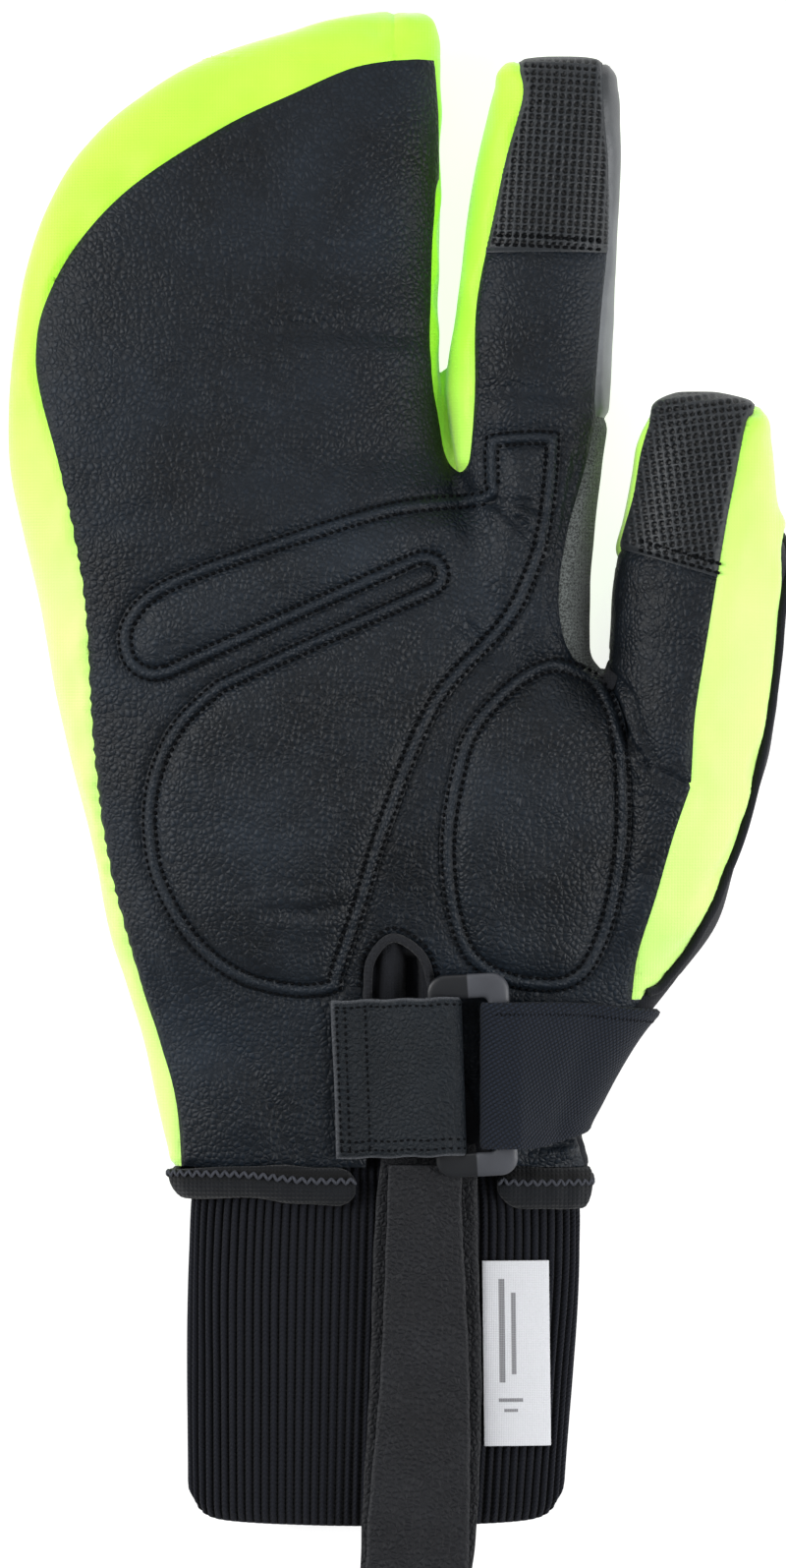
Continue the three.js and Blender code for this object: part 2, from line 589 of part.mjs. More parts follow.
// A band end folded round a buckle bar: its side profile is (along X, height), extruded along Y.
function bandEnd(profile, high) {
  const shape = new THREE.Shape(profile.map(([x, z]) => new THREE.Vector2(x - BUCKLE.x, z)));
  const geometry = new THREE.ExtrudeGeometry(shape, { depth: high, bevelEnabled: false });
  geometry.rotateX(Math.PI / 2).translate(0, high / 2, 0);
  geometry.rotateX(Math.atan(WRIST_SLOPE));
  return fromGeometry(geometry.translate(BUCKLE.x, BUCKLE.y, BUCKLE.z));
}

function makeTab(grown, buckleSpace) {
  return main(bandEnd(TAB_PROFILE, TAB_HIGH).subtract(grown).subtract(buckleSpace));
}

function makeStrap(grown, buckleSpace) {
  const { frontFrom, backTo, turn, overlap } = STRAP_RUN;
  const layer = digitBody(HAND, GAP + STRAP_THICK).subtract(grown);
  const band = slab(-FAR, FAR, STRAP_BOTTOM, STRAP_TOP, -FAR, FAR);
  const front = slab(frontFrom, FAR, -FAR, 0, turn, FAR);
  const behind = slab(backTo, FAR, -FAR, 0, -FAR, turn + overlap);
  const wrap = layer.intersect(band).intersect(front.add(behind));
  const end = bandEnd(STRAP_PROFILE, STRAP_TOP - STRAP_BOTTOM);
  return main(wrap.add(end).subtract(grown).subtract(buckleSpace));
}

function makePiping(grown) {
  const front = PIPING_FRONT.map(([x, y]) => {
    const point = new THREE.Vector3(x, y, frontHeight(x, y));
    return { point, ray: point.clone().sub(thumbCentre(y)).normalize() };
  });
  const back = PIPING_BACK.map(({ y, angle }) => outerPoint(y, angle));
  const points = [...front, ...back].map(({ point, ray }) => point.addScaledVector(ray, GAP));
  const path = new THREE.CatmullRomCurve3(points);
  const section = new THREE.Shape();
  section.absarc(0, 0, PIPING_RADIUS, 0, 2 * Math.PI);
  const geometry = new THREE.ExtrudeGeometry(section, { steps: 20, curveSegments: 3, extrudePath: path });
  return main(fromGeometry(geometry).subtract(grown));
}

// Materials: colour, roughness
const looks = {
  hiVis: new THREE.MeshStandardMaterial({ color: 0xbfff3c, roughness: 0.6, metalness: 0 }),
  leather: new THREE.MeshStandardMaterial({ color: 0x2d3237, roughness: 0.62, metalness: 0 }),
  softBlack: new THREE.MeshStandardMaterial({ color: 0x1b1e23, roughness: 0.8, metalness: 0 }),
  grip: new THREE.MeshStandardMaterial({ color: 0x26282c, roughness: 0.5, metalness: 0 }),
  reflective: new THREE.MeshStandardMaterial({ color: 0x84898e, roughness: 0.4, metalness: 0 }),
  melange: new THREE.MeshStandardMaterial({ color: 0x3a3d41, roughness: 0.9, metalness: 0 }),
  knit: new THREE.MeshStandardMaterial({ color: 0x15171d, roughness: 0.9, metalness: 0 }),
  webbing: new THREE.MeshStandardMaterial({ color: 0x191c22, roughness: 0.8, metalness: 0 }),
  plastic: new THREE.MeshStandardMaterial({ color: 0x3c4046, roughness: 0.45, metalness: 0 }),
  label: new THREE.MeshStandardMaterial({ color: 0xe8e9ea, roughness: 0.6, metalness: 0 }),
};

const mitten = new THREE.Group();
const place = (name, body, material) => mitten.add(toMesh(name, body, material));

const panels = makePanels();
const grownShell = allDigits(GAP);
const grownHand = digitBody(HAND, GAP);
const buckle = makeBuckle();
const buckleSpace = makeBuckle(GAP);
const panelLooks = {
  back_shell: looks.hiVis,
  finger_gusset: looks.hiVis,
  palm_panel: looks.leather,
  index_tip_patch: looks.grip,
  index_side_strip: looks.reflective,
  crotch_gusset: looks.melange,
  thumb_front: looks.leather,
  thumb_tip_patch: looks.grip,
  thumb_side_panel: looks.hiVis,
  back_thumb_panel: looks.softBlack,
};
Object.entries(panelLooks).forEach(([name, material]) => place(name, panels[name], material));
place("palm_overlay", makePad(OVERLAY, grownShell, buckleSpace), looks.leather);
place("thenar_pad", makePad(THENAR, grownShell, buckleSpace), looks.leather);
place("piping", makePiping(grownShell), looks.softBlack);
place("wrist_gusset", makeWristGusset(), looks.softBlack);
place("wrist_hem", makeHem(), looks.softBlack);
place("knit_cuff", makeCuff(), looks.knit);
place("cuff_label", makeLabel(), looks.label);
place("pull_loop", makeLoop(), looks.leather);
place("buckle", buckle, looks.plastic);
place("strap_tab", makeTab(grownHand, buckleSpace), looks.leather);
place("strap_webbing", makeStrap(grownHand, buckleSpace), looks.webbing);

export default mitten;
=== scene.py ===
import math

import bpy
import numpy as np
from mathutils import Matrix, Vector
from mathutils.kdtree import KDTree


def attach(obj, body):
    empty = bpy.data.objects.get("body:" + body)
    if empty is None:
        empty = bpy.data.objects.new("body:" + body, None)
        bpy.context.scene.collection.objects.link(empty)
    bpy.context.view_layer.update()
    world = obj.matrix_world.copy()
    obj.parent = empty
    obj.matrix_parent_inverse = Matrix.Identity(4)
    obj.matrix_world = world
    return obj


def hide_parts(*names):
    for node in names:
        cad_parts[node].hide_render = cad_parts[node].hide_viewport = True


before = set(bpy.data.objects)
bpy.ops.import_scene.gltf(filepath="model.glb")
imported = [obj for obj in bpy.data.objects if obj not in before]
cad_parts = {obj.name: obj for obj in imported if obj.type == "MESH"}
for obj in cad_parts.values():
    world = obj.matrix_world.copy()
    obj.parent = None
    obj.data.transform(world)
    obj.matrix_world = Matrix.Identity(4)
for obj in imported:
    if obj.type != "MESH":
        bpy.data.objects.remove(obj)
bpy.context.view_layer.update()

# Driving sizes
MM = 0.001
UP = np.array([0.0, 0.0, 1.0])
WALL = 1.8  # thickness of the soft shell
SKIN_STEP = 0.98  # size of the skin's faces
SKIN_BOX = ((-77.0, -74.0, -2.0), (77.0, 152.0, 43.0))  # room that the skin is found in
ABOVE_ALL = 41.0  # a height above the whole skin
FLOOR_BLEND = 1.6  # softness of the skin's turn onto the floor
SHELL_END = -69.4  # where the shell stops at the wrist
STRAP_TOP = -37.9
STRAP_BOTTOM = -65.4
WRIST_SLOPE = 0.135  # fall of the wrist front toward the cuff
BUCKLE = {
    "x": 14.0, "y": -51.9, "z": 29.9, "wide": 15.4, "high": 38.2,
    "bar": 4.0, "end": 4.6, "thick": 2.4, "tilt": 0.055,
}
TAB = {"high": 29.8, "half": 0.72, "pitch": 0.45, "tilt": 0.035}
WEB_ABOVE = 0.95  # from the skin to the middle of the webbing
WEB_PITCH = 0.7  # step of the webbing's grid along its length
WEB_FREE = 26  # steps of the grid that the fold round the buckle takes
LOOP_PITCH = 0.8
LABEL = {"left": 15.9, "wide": 12.6, "top": -87.1, "bottom": -122.1, "thick": 0.42, "above": 0.95}
RIBS = 98
RIB_DEPTH = 1.0
CUFF_TOP = -66.0
CUFF_END = -137.6
CUFF_WALL = 2.2
HEM_MIDDLE = -72.2
HEM_HALF = 3.0
HEM_GAP = (-7.5, 18.6)  # the notch's width at the hem
HEM_DROOP = 1.3  # how much lower the hem hangs next to the notch
PAD_STEP = 0.46  # size of the pads' faces
PAD_DEPTH = 0.7  # how far a pad reaches into the palm
SEW_INSET = 0.5  # from a pad's edge to its outer row of stitches
SEW_INNER = SEW_INSET + 2.35  # from a pad's edge to its inner row
STITCH_PITCH = 1.37
STITCH_LENGTH = 0.86
THREAD = 0.31  # radius of the sewing thread
CORD = 0.85  # radius of the piping and of the notch's binding
GRIP_PITCH = 1.4
GRAIN = 1.05  # size of the leather's grains

# Sections across each digit, from the wrist to the tip: y, left, right, lowest, highest
HAND = {
    "power": 2.7,
    "rows": [
        (-80.0, -41.5, 35.6, 2.0, 22.6), (-69.9, -42.5, 36.4, 2.0, 24.0),
        (-62.3, -44.3, 34.9, 2.2, 25.0), (-57.0, -45.5, 37.4, 2.4, 25.7),
        (-45.9, -47.9, 43.6, 2.4, 27.2),
        (-36.6, -50.7, 50.2, 2.3, 28.7), (-27.4, -53.6, 56.8, 0.2, 31.2),
        (-12.6, -56.8, 61.5, -1.3, 34.5), (4.1, -60.9, 61.5, -1.5, 36.0),
        (13.3, -62.8, 55.0, -1.5, 36.2), (20.7, -64.4, 44.0, -1.5, 36.0),
        (27.0, -65.6, 34.5, -1.5, 35.8), (35.5, -67.3, 29.5, -1.5, 35.5),
        (50.3, -70.7, 19.8, -1.5, 34.8), (62.3, -73.0, 10.5, -1.3, 34.0),
        (72.5, -73.4, 8.3, -1.1, 33.2), (87.0, -72.4, 7.9, -0.6, 32.3),
        (100.0, -70.1, 7.9, 0.0, 31.2), (112.0, -65.7, 8.0, 0.8, 29.7),
        (122.5, -59.4, 8.0, 1.8, 28.0), (131.7, -50.1, 8.0, 2.8, 26.0),
        (139.1, -37.2, 7.8, 4.0, 23.5), (144.7, -20.9, 7.4, 5.8, 20.5),
        (147.4, -11.3, 6.0, 8.0, 17.6), (148.6, -3.4, 4.2, 10.5, 14.5),
    ],
}
INDEX = {
    "power": 2.4,
    "rows": [
        (9.6, 18.4, 34.1, 5.0, 28.0), (24.0, 14.7, 35.8, -0.5, 33.0),
        (39.2, 12.9, 36.3, -1.0, 34.3), (62.3, 10.7, 38.5, -0.4, 32.8),
        (76.2, 9.2, 40.0, 0.3, 31.2), (98.4, 11.7, 41.1, 1.8, 29.2),
        (126.2, 16.6, 41.9, 4.5, 27.2), (133.6, 18.3, 41.6, 6.0, 26.0),
        (137.3, 19.6, 40.7, 8.0, 24.2), (138.9, 22.0, 38.7, 10.5, 22.0),
        (139.7, 25.9, 36.1, 14.0, 18.5),
    ],
}
THUMB = {
    "power": 2.3,
    "rows": [
        (-33.0, 35.0, 49.0, 6.0, 24.0), (-27.4, 34.2, 56.4, 2.0, 29.0),
        (-12.6, 36.1, 63.6, -0.3, 35.0), (4.0, 37.2, 68.5, 1.4, 38.0),
        (24.4, 39.6, 72.0, 3.8, 39.6), (40.0, 40.5, 73.1, 6.3, 39.5),
        (57.7, 43.5, 71.2, 9.8, 38.2), (67.0, 45.3, 70.1, 12.0, 37.0),
        (72.2, 47.2, 69.0, 14.5, 35.2), (74.8, 49.0, 65.8, 17.5, 33.0),
        (76.2, 52.0, 60.5, 21.5, 29.0),
    ],
}
DIGIT_BLEND = [(INDEX, 2.6), (THUMB, 3.4)]  # softness of each one's join to the hand
CUFF = {
    "power": 2.5,
    "rows": [
        (-138.0, -39.6, 31.2, 0.3, 15.0), (-112.0, -39.6, 32.8, 0.1, 16.8),
        (-86.0, -39.3, 34.2, 0.2, 18.6), (-76.0, -38.9, 34.2, 3.4, 20.6),
        (-65.0, -37.6, 32.6, 5.6, 20.6),
    ],
}

# Seam outlines, seen from above the palm. Each is a smooth run, closed through straight corners.
PALM_SEAM = [
    (-41.1, -90), (-41.6, -60.7), (-45.1, -45.9), (-48.7, -34.8), (-54.6, -12.6), (-57.4, 9.6),
    (-59, 37.4), (-63.1, 59.6), (-67.5, 76.2), (-68.3, 84.5), (-66.6, 92.9), (-60.5, 104),
    (-49.8, 115.1), (-32.6, 126.2), (-19.4, 132.6), (-8.9, 137.3), (-0.9, 138.9), (3.7, 139.3),
]
PALM_CORNERS = [(70, 139.3), (90, 100), (90, -90)]
FOURCHETTE = [
    (22.8, 145), (22.8, 137.3), (23.3, 131.7), (20.2, 120.6), (17.8, 109.5), (14.4, 92.9),
    (14.1, 76.2), (13.2, 65.1), (12.4, 62.2), (11, 61.6), (9.3, 65.1), (8.3, 70.7), (7.2, 76.2),
    (6.7, 81.8), (6.5, 87.3), (6.7, 92.9), (7.0, 104), (7.4, 109.5), (7.7, 115), (9.5, 120),
]
FOURCHETTE_CORNERS = [(15, 145)]
STRIP = [(38.6, 145), (39, 129.9), (39.9, 118.8), (39.9, 104), (38.8, 92.9), (37.5, 76.2), (37.7, 71.6)]
STRIP_CORNERS = [(44, 71.6), (44, 145)]
GUSSET_TIP = [(-0.7, 160), (-0.7, 138.9), (3.7, 139.2), (12, 139), (12, 160)]
GUSSET_SIDE = [(4, 145), (4, 60), (12, 60), (8.9, 80), (9.5, 145)]
CROTCH = [(37.7, 71.4), (35.4, 61.5), (32.2, 50.3), (30.4, 38.5), (31.6, 29.5), (35.0, 25.0), (38.6, 23.4)]
CROTCH_CORNERS = [(38.9, 30), (39.2, 45), (43, 71.4)]
THUMB_FRONT = [
    (67.2, 90), (67.2, 74), (65.5, 70.7), (63.1, 59.6), (60.9, 48.5), (57.2, 26.3), (55.5, 15.2),
    (54.8, 2.2),
]
THUMB_FRONT_CORNERS = [(49, 5), (45.7, 12.4), (43.5, 19.8), (39.4, 24.4), (39.4, 30), (41, 50), (44, 90)]
THUMB_SIDE = [(54.8, 2.2), (51.6, -7), (48.5, -18), (45.2, -29.2), (44.2, -38.1)]
THUMB_SIDE_CORNERS = [(90, -38.1), (90, 100), (40, 100), (41, 50), (41.8, 33), (46.5, 21), (51, 9)]
BACK_THUMB = [(20, 14), (38, 25.5), (45, 31), (56, 39.5), (66, 46.5), (74, 50.2)]
BACK_THUMB_CORNERS = [(90, 51), (90, -90), (20, -90)]
NOTCH = [(-6.1, -90), (-5.7, -36.6), (-5, -30.2), (-0.9, -26.1), (4.6, -29.6), (6.7, -36.6), (19.8, -71.8)]
NOTCH_CORNERS = [(19.8, -90)]
NOTCH_STRAIGHT = [(-5.75, -60), (-5.72, -50), (-5.7, -42)]  # the straight part of its bound edge
NOTCH_MIDDLE = (0.6, -40.0)
OVERLAY = [
    (14.8, 57.7), (-0.9, 55.9), (-19.4, 50.3), (-37.9, 43.8), (-47.2, 39.2), (-51.8, 33.7), (-52.7, 29),
    (-51.2, 24.4), (-47.2, 21.8), (-42.6, 22.1), (-37.5, 24.4), (-0.5, 41.2), (2.6, 42.7), (4.8, 43.4),
    (6.4, 42.9), (6.6, 41.5), (5.3, 40.4), (2.6, 39.2), (-31.0, 23.9), (-35.5, 21.2), (-41.5, 15.6),
    (-45.6, 8.6), (-47.8, 1.0), (-48.1, -7), (-46.2, -16.3), (-39.8, -27.4), (-30.5, -34.8),
    (-19.4, -37.6), (-11.1, -36.6), (-9.8, -32.9), (-5.5, -20), (-0.9, -5.2), (8.3, 17), (21.3, 31.8),
    (26, 40.6), (29, 50.3), (30.6, 65.5), (29.2, 69), (17.8, 68.6), (16, 66.4), (15.9, 59),
]
THENAR = [
    (28.7, 26.6), (36.1, 24.6), (39.4, 21.6), (42.5, 14.2), (43.7, 2.2), (43.5, -8.9), (41.3, -21.8),
    (37.6, -31.4), (33.3, -35.6), (27.8, -36.6), (19.4, -35.2), (12.2, -30.2), (8.6, -20), (7.8, -7),
    (9.9, 5.9), (13, 14.2), (20.6, 22.6),
]
# Piping round the thumb base: its run in front, seen from above (x, y), from the wrist up
PIPING_FRONT = [
    (47, -36.4), (49.7, -34.8), (54.1, -29.2), (57.3, -23.7), (60.1, -18.1), (64.3, -7), (67.2, 4.1),
    (69.5, 15.2), (71, 26.3), (72.1, 37.4),
]
# Its turn to the back: y, and the angle round the thumb's section, 0 at the outer edge
PIPING_BACK = [(49.4, -14), (46.0, -55), (39.0, -95), (31.0, -135)]
# The dark panel's edge past both ends of the piping: x, y, z
PIPING_PAST_WRIST = [(36, -90, 13), (41, -46, 20)]
PIPING_PAST_TIP = [(72.3, 49.4, 21), (72.3, 60, 21)]
# Rows of heavy stitches under the grip patches: both ends of each
PATCH_ROWS = [
    ((18.0, 103.9), (38.6, 103.0)), ((18.2, 105.6), (38.6, 104.7)),
    ((44.6, 46.6), (60.4, 41.9)), ((44.9, 48.3), (60.7, 43.6)),
]
# Side views of the tab's and the webbing's folds round the buckle's bars: x, height above the strap's plane
TAB_PATH = [
    (-12.2, -2.5), (-8, -2.1), (-3, -1.0), (1.0, 0.8), (4.2, 2.2), (7.4, 2.6), (10.3, 2.3), (11.7, 0.6),
    (11.1, -1.4), (8.9, -2.2), (5.5, -2.4),
]
WEB_FOLD = [
    (27, -2.6), (21.5, -2.6), (17.6, -2.1), (16.2, -0.6), (16.5, 1.2), (18.2, 2.4), (20.5, 2.6), (22.5, 2.2),
]
# Pull loop, from the wrist down, round its fold and back up on top: x, y, z, width
LOOP = [
    (5.8, -64.5, 23.6, 17.5), (5.8, -71.0, 22.8, 18.5), (5.6, -78.0, 21.6, 19.2), (5.4, -90.0, 19.6, 20.0),
    (5.0, -112.0, 18.1, 21.2), (4.4, -134.0, 17.0, 21.8), (3.6, -146.0, 16.8, 21.0),
    (3.6, -148.2, 18.4, 20.5), (3.7, -146.2, 20.2, 19.4), (4.2, -134.0, 20.6, 19.0),
    (4.8, -112.0, 21.4, 17.0), (5.2, -90.0, 22.8, 15.0), (5.2, -78.0, 24.5, 14.0), (5.2, -68.4, 25.6, 13.8),
]
# Folds of the palm side: the points of the run, half width, depth. A negative depth is a ridge.
FOLDS = [
    ([(15.7, 56.8), (21.0, 53.0), (25.9, 47.5)], 1.1, 0.85),
    ([(17.0, 55.4), (23.0, 55.2), (28.6, 53.6)], 1.0, 0.70),
    ([(15.2, 54.5), (17.5, 49.0), (18.0, 43.5)], 1.3, 0.50),
    ([(11.0, 33.5), (13.5, 31.5), (15.7, 28.0)], 1.4, 0.80),
    ([(5.0, 53.0), (12.0, 48.5), (17.0, 42.0)], 3.2, -0.75),
    ([(-38.0, 86.0), (-16.0, 88.0), (6.0, 86.5)], 2.2, 0.50),
    ([(-30.0, 60.0), (-12.0, 63.5), (4.0, 64.0)], 3.0, 0.40),
    ([(-48.0, 104.0), (-30.0, 100.0), (-12.0, 101.0)], 3.0, 0.30),
    ([(10.0, 76.0), (22.0, 76.5), (36.0, 74.5)], 1.5, 0.55),
    ([(-25.0, -21.0), (-16.0, -21.3), (-8.0, -19.5)], 1.5, 0.60),
    ([(-55.0, 50.0), (-47.0, 53.5), (-40.0, 54.0)], 2.5, 0.40),
    ([(33.6, 64.0), (31.4, 50.0), (28.9, 39.5), (30.0, 31.0)], 1.2, 1.10),
    ([(39.2, 24.0), (40.8, 17.0), (43.6, 10.0), (48.0, 4.5), (53.5, 0.5)], 0.95, 1.25),
    ([(26.5, -67.2), (31.0, -66.6), (35.8, -64.9)], 1.1, -1.15),
    ([(25.5, -68.9), (30.0, -69.0), (34.5, -68.2)], 0.7, 0.80),
    ([(32.5, -62.9), (35.0, -63.8), (37.2, -66.2)], 0.7, 0.90),
    ([(52.0, 30.0), (56.0, 26.5), (60.0, 22.0)], 2.2, 0.40),
    ([(-1.0, 20.0), (3.5, 26.0), (6.0, 34.0)], 2.6, 0.45),
    ([(18.0, -12.0), (28.0, -8.0), (36.0, -6.0)], 4.0, 0.35),
    ([(-45.0, -40.0), (-38.0, -50.0), (-30.0, -60.0)], 3.2, -0.70),
    ([(-48.0, -26.0), (-42.0, -40.0), (-33.0, -52.0)], 2.0, 0.45),
    ([(-35.0, -44.0), (-27.0, -52.0), (-20.0, -66.0)], 2.2, 0.50),
]


# Curves and outlines
def spline(points, closed=False, steps=7):
    """A smooth curve through the points, with some steps between neighbours."""
    p = np.array(points, float)
    ends = (p[-1:], p[:2]) if closed else (2 * p[:1] - p[1:2], 2 * p[-1:] - p[-2:-1])
    p = np.concatenate([ends[0], p, ends[1]])
    t = (np.arange(steps) / steps)[:, None, None]
    a, b, c, d = p[:-3], p[1:-2], p[2:-1], p[3:]
    curve = 0.5 * (2 * b + (c - a) * t + (2 * a - 5 * b + 4 * c - d) * t**2 + (3 * b - a - 3 * c + d) * t**3)
    curve = curve.transpose(1, 0, 2).reshape(-1, p.shape[1])
    return curve if closed else np.concatenate([curve, p[-2:-1]])


def segment_offset(x, y, start, end):
    """Square of the distance to a segment, and the share of its length where it is nearest."""
    (x0, y0), (dx, dy) = start, end - start
    t = np.clip(((x - x0) * dx + (y - y0) * dy) / max(dx * dx + dy * dy, 1e-12), 0, 1)
    return (x - x0 - t * dx) ** 2 + (y - y0 - t * dy) ** 2, t


def outline_distance(polygon, x, y):
    """Distance to a closed outline, negative inside it."""
    nearest = np.full(x.shape, 1e9)
    inside = np.zeros(x.shape, bool)
    for start, end in zip(polygon, np.roll(polygon, -1, axis=0)):
        nearest = np.minimum(nearest, segment_offset(x, y, start, end)[0])
        dx, dy = end - start
        crosses = (start[1] > y) != (end[1] > y)
        inside ^= crosses & (x < start[0] + (y - start[1]) * dx / (dy if dy else 1e-12))
    return np.where(inside, -1, 1) * np.sqrt(nearest)


def seam_level(run, corners, x, y):
    """Distance to the outline of a smooth run and straight corners, negative inside it."""
    return outline_distance(np.concatenate([spline(run), np.array(corners, float)]), x, y)


def rows_at(stations, places, rows):
    """The rows of a table, linear between the places that they stand for."""
    return np.stack([np.interp(stations, places, column) for column in rows.T], axis=1)


def resample(path, pitch):
    """Points at an even pitch along an open path, with the unit tangent at each."""
    lengths = np.linalg.norm(np.diff(path, axis=0), axis=1)
    along = np.concatenate([[0], np.cumsum(lengths)])
    count = max(int(along[-1] / pitch), 1)
    stations = (np.arange(count) + 0.5) * along[-1] / count
    reach = 0.2
    tangents = rows_at(stations + reach, along, path) - rows_at(stations - reach, along, path)
    return rows_at(stations, along, path), unit(tangents)


def unit(vectors):
    """The vectors made one long."""
    return vectors / np.maximum(np.linalg.norm(vectors, axis=-1, keepdims=True), 1e-9)


def smooth(low, high, value):
    """0 at low and 1 at high, with soft ends."""
    t = np.clip((value - low) / (high - low), 0, 1)
    return t * t * (3 - 2 * t)


def waves(points, size, seed):
    """Soft random relief from about -1 to 1 with bumps of about the given size."""
    random = np.random.default_rng(seed)
    total = np.zeros(len(points))
    for _ in range(10):
        direction = unit(random.normal(size=3)) / size * random.uniform(0.7, 1.5)
        total += np.sin(2 * math.pi * (points @ direction) / 2 + random.uniform(0, 6.28))
    return total / 4.5


# Sections and the skin that they give
def section(digit, y):
    """Left, right, back and front of a section at each y, smooth between the rows."""
    table = np.array(digit["rows"], float)
    ys, values = table[:, 0], table[:, 1:]
    slopes = np.gradient(values, ys, axis=0)
    i = np.clip(np.searchsorted(ys, y) - 1, 0, len(ys) - 2)
    step = (ys[i + 1] - ys[i])[..., None]
    t = np.clip((y - ys[i])[..., None] / step, 0, 1)
    start, end = values[i], values[i + 1]
    rise = (3 - 2 * t) * t * t * (end - start)
    bend = t * (1 - t) * step * ((1 - t) * slopes[i] - t * slopes[i + 1])
    return np.moveaxis(start + rise + bend, -1, 0)


def squared_circle(angle, power):
    """Across and up at an angle round a circle that is squared by a power below 1."""
    across, up = np.cos(angle), np.sin(angle)
    return np.sign(across) * np.abs(across) ** power, np.sign(up) * np.abs(up) ** power


def even_section(digit, y, count, grow=0.0, first=-90.0):
    """Points spaced evenly round a section, with the outward direction of each.

    They start at an angle round the section and run toward the thumb side and the front."""
    steps = 1440
    angle = math.radians(first) + np.arange(steps + 1) * 2 * math.pi / steps
    left, right, back, front = section(digit, np.array(float(y)))
    reach, rise = squared_circle(angle, 2 / digit["power"])
    x = (left + right) / 2 + ((right - left) / 2 + grow) * reach
    z = (back + front) / 2 + ((front - back) / 2 + grow) * rise
    length = np.concatenate([[0], np.cumsum(np.hypot(np.diff(x), np.diff(z)))])
    stations = np.arange(count) * length[-1] / count
    points = rows_at(stations, length, np.stack([x, np.full(x.shape, float(y)), z], axis=1))
    ahead = np.roll(points, -1, axis=0) - np.roll(points, 1, axis=0)
    return points, unit(np.stack([ahead[:, 2], 0 * ahead[:, 0], -ahead[:, 0]], axis=1))


def soft_min(a, b, soft):
    """The lower of two levels, with a round join."""
    share = np.clip(0.5 + 0.5 * (b - a) / soft, 0, 1)
    return b + (a - b) * share - soft * share * (1 - share)


def digit_level(digit, x, y, z):
    """Below 0 inside a digit, 0 on its skin and above 0 outside it."""
    left, right, back, front = section(digit, y)
    across = np.abs((2 * x - left - right) / (right - left)) ** digit["power"]
    up = np.abs((2 * z - back - front) / (front - back)) ** digit["power"]
    half = np.minimum(right - left, front - back) / 2
    body = ((across + up) ** (1 / digit["power"]) - 1) * half
    first, last = digit["rows"][0][0], digit["rows"][-1][0]
    return -soft_min(-body, -np.maximum(y - last, first - y), 1.0)


def digit_distance(digit, x, y, z):
    """The level divided by its slope, which is close to a distance near the skin."""
    nudge = 0.05
    level = digit_level(digit, x, y, z)
    slope = (digit_level(digit, x + nudge, y, z) - level) ** 2
    slope = slope + (digit_level(digit, x, y + nudge, z) - level) ** 2
    slope = slope + (digit_level(digit, x, y, z + nudge) - level) ** 2
    return level / np.maximum(np.sqrt(slope) / nudge, 0.35)


def glove_distance(x, y, z):
    """Distance to the whole skin, negative inside it. The floor flattens it softly."""
    total = digit_distance(HAND, x, y, z)
    for digit, soft in DIGIT_BLEND:
        total = soft_min(total, digit_distance(digit, x, y, z), soft)
    return -soft_min(-total, z, FLOOR_BLEND)


def glove_normal(points):
    """Outward direction of the skin at each point."""
    columns = []
    for nudge in np.eye(3) * 0.15:
        columns.append(glove_distance(*(points + nudge).T) - glove_distance(*(points - nudge).T))
    return unit(np.stack(columns, axis=1))


def to_skin(points, rounds=3):
    """The points moved onto the skin."""
    for _ in range(rounds):
        points = points - glove_distance(*points.T)[:, None] * glove_normal(points)
    return points


def surface_nets(level, corner, step):
    """Points and quads of the surface where a grid of levels crosses zero."""
    solid = level < 0
    cells = tuple(n - 1 for n in level.shape)
    count = np.zeros(cells, np.int8)
    for i in range(8):
        dx, dy, dz = i & 1, i >> 1 & 1, i >> 2
        count += solid[dx:dx + cells[0], dy:dy + cells[1], dz:dz + cells[2]]
    mixed = (count > 0) & (count < 8)
    number = np.full(cells, -1)
    number[mixed] = np.arange(mixed.sum())
    ids = np.argwhere(mixed)
    total = np.zeros(ids.shape)
    hits = np.zeros(len(ids))
    for axis in range(3):
        one = np.eye(3, dtype=int)[axis]
        for a in (0, 1):
            for b in (0, 1):
                start = ids + np.roll([0, a, b], axis)
                v0 = level[tuple(start.T)]
                v1 = level[tuple((start + one).T)]
                crosses = (v0 < 0) != (v1 < 0)
                t = v0[crosses] / (v0 - v1)[crosses]
                total[crosses] += start[crosses] + t[:, None] * one
                hits += crosses
    quads = []
    for axis in range(3):
        axes = (axis, (axis + 1) % 3, (axis + 2) % 3)
        lined = np.moveaxis(solid, axes, (0, 1, 2))
        numbers = np.moveaxis(number, axes, (0, 1, 2))
        first = lined[:-1, 1:-1, 1:-1]
        second = lined[1:, 1:-1, 1:-1]
        corners = [numbers[:, :-1, :-1], numbers[:, 1:, :-1], numbers[:, 1:, 1:], numbers[:, :-1, 1:]]
        quads.append(np.stack([c[first & ~second] for c in corners], axis=1))
        quads.append(np.stack([c[~first & second] for c in corners[::-1]], axis=1))
    return corner + step * total / hits[:, None], np.concatenate(quads)


def relax(points, quads, rounds):
    """Evens out the points along the skin."""
    a = np.concatenate([quads, np.roll(quads, -1, axis=1)]).ravel()
    b = np.concatenate([np.roll(quads, -1, axis=1), quads]).ravel()
    weight = np.bincount(a, minlength=len(points))
    for _ in range(rounds):
        mean = [np.bincount(a, points[b, k], minlength=len(points)) / weight for k in range(3)]
        points = to_skin(0.5 * points + 0.5 * np.stack(mean, axis=1), 1)
    return points


def make_skin():
    """The whole outer skin as points and triangles."""
    axes = [np.arange(low, high, SKIN_STEP) for low, high in zip(*SKIN_BOX)]
    x, y, z = axes[0][:, None, None], axes[1][None, :, None], axes[2][None, None, :]
    points, quads = surface_nets(glove_distance(x, y, z), np.array(SKIN_BOX[0]), SKIN_STEP)
    return relax(to_skin(points, 2), quads, 3), triangles(quads)


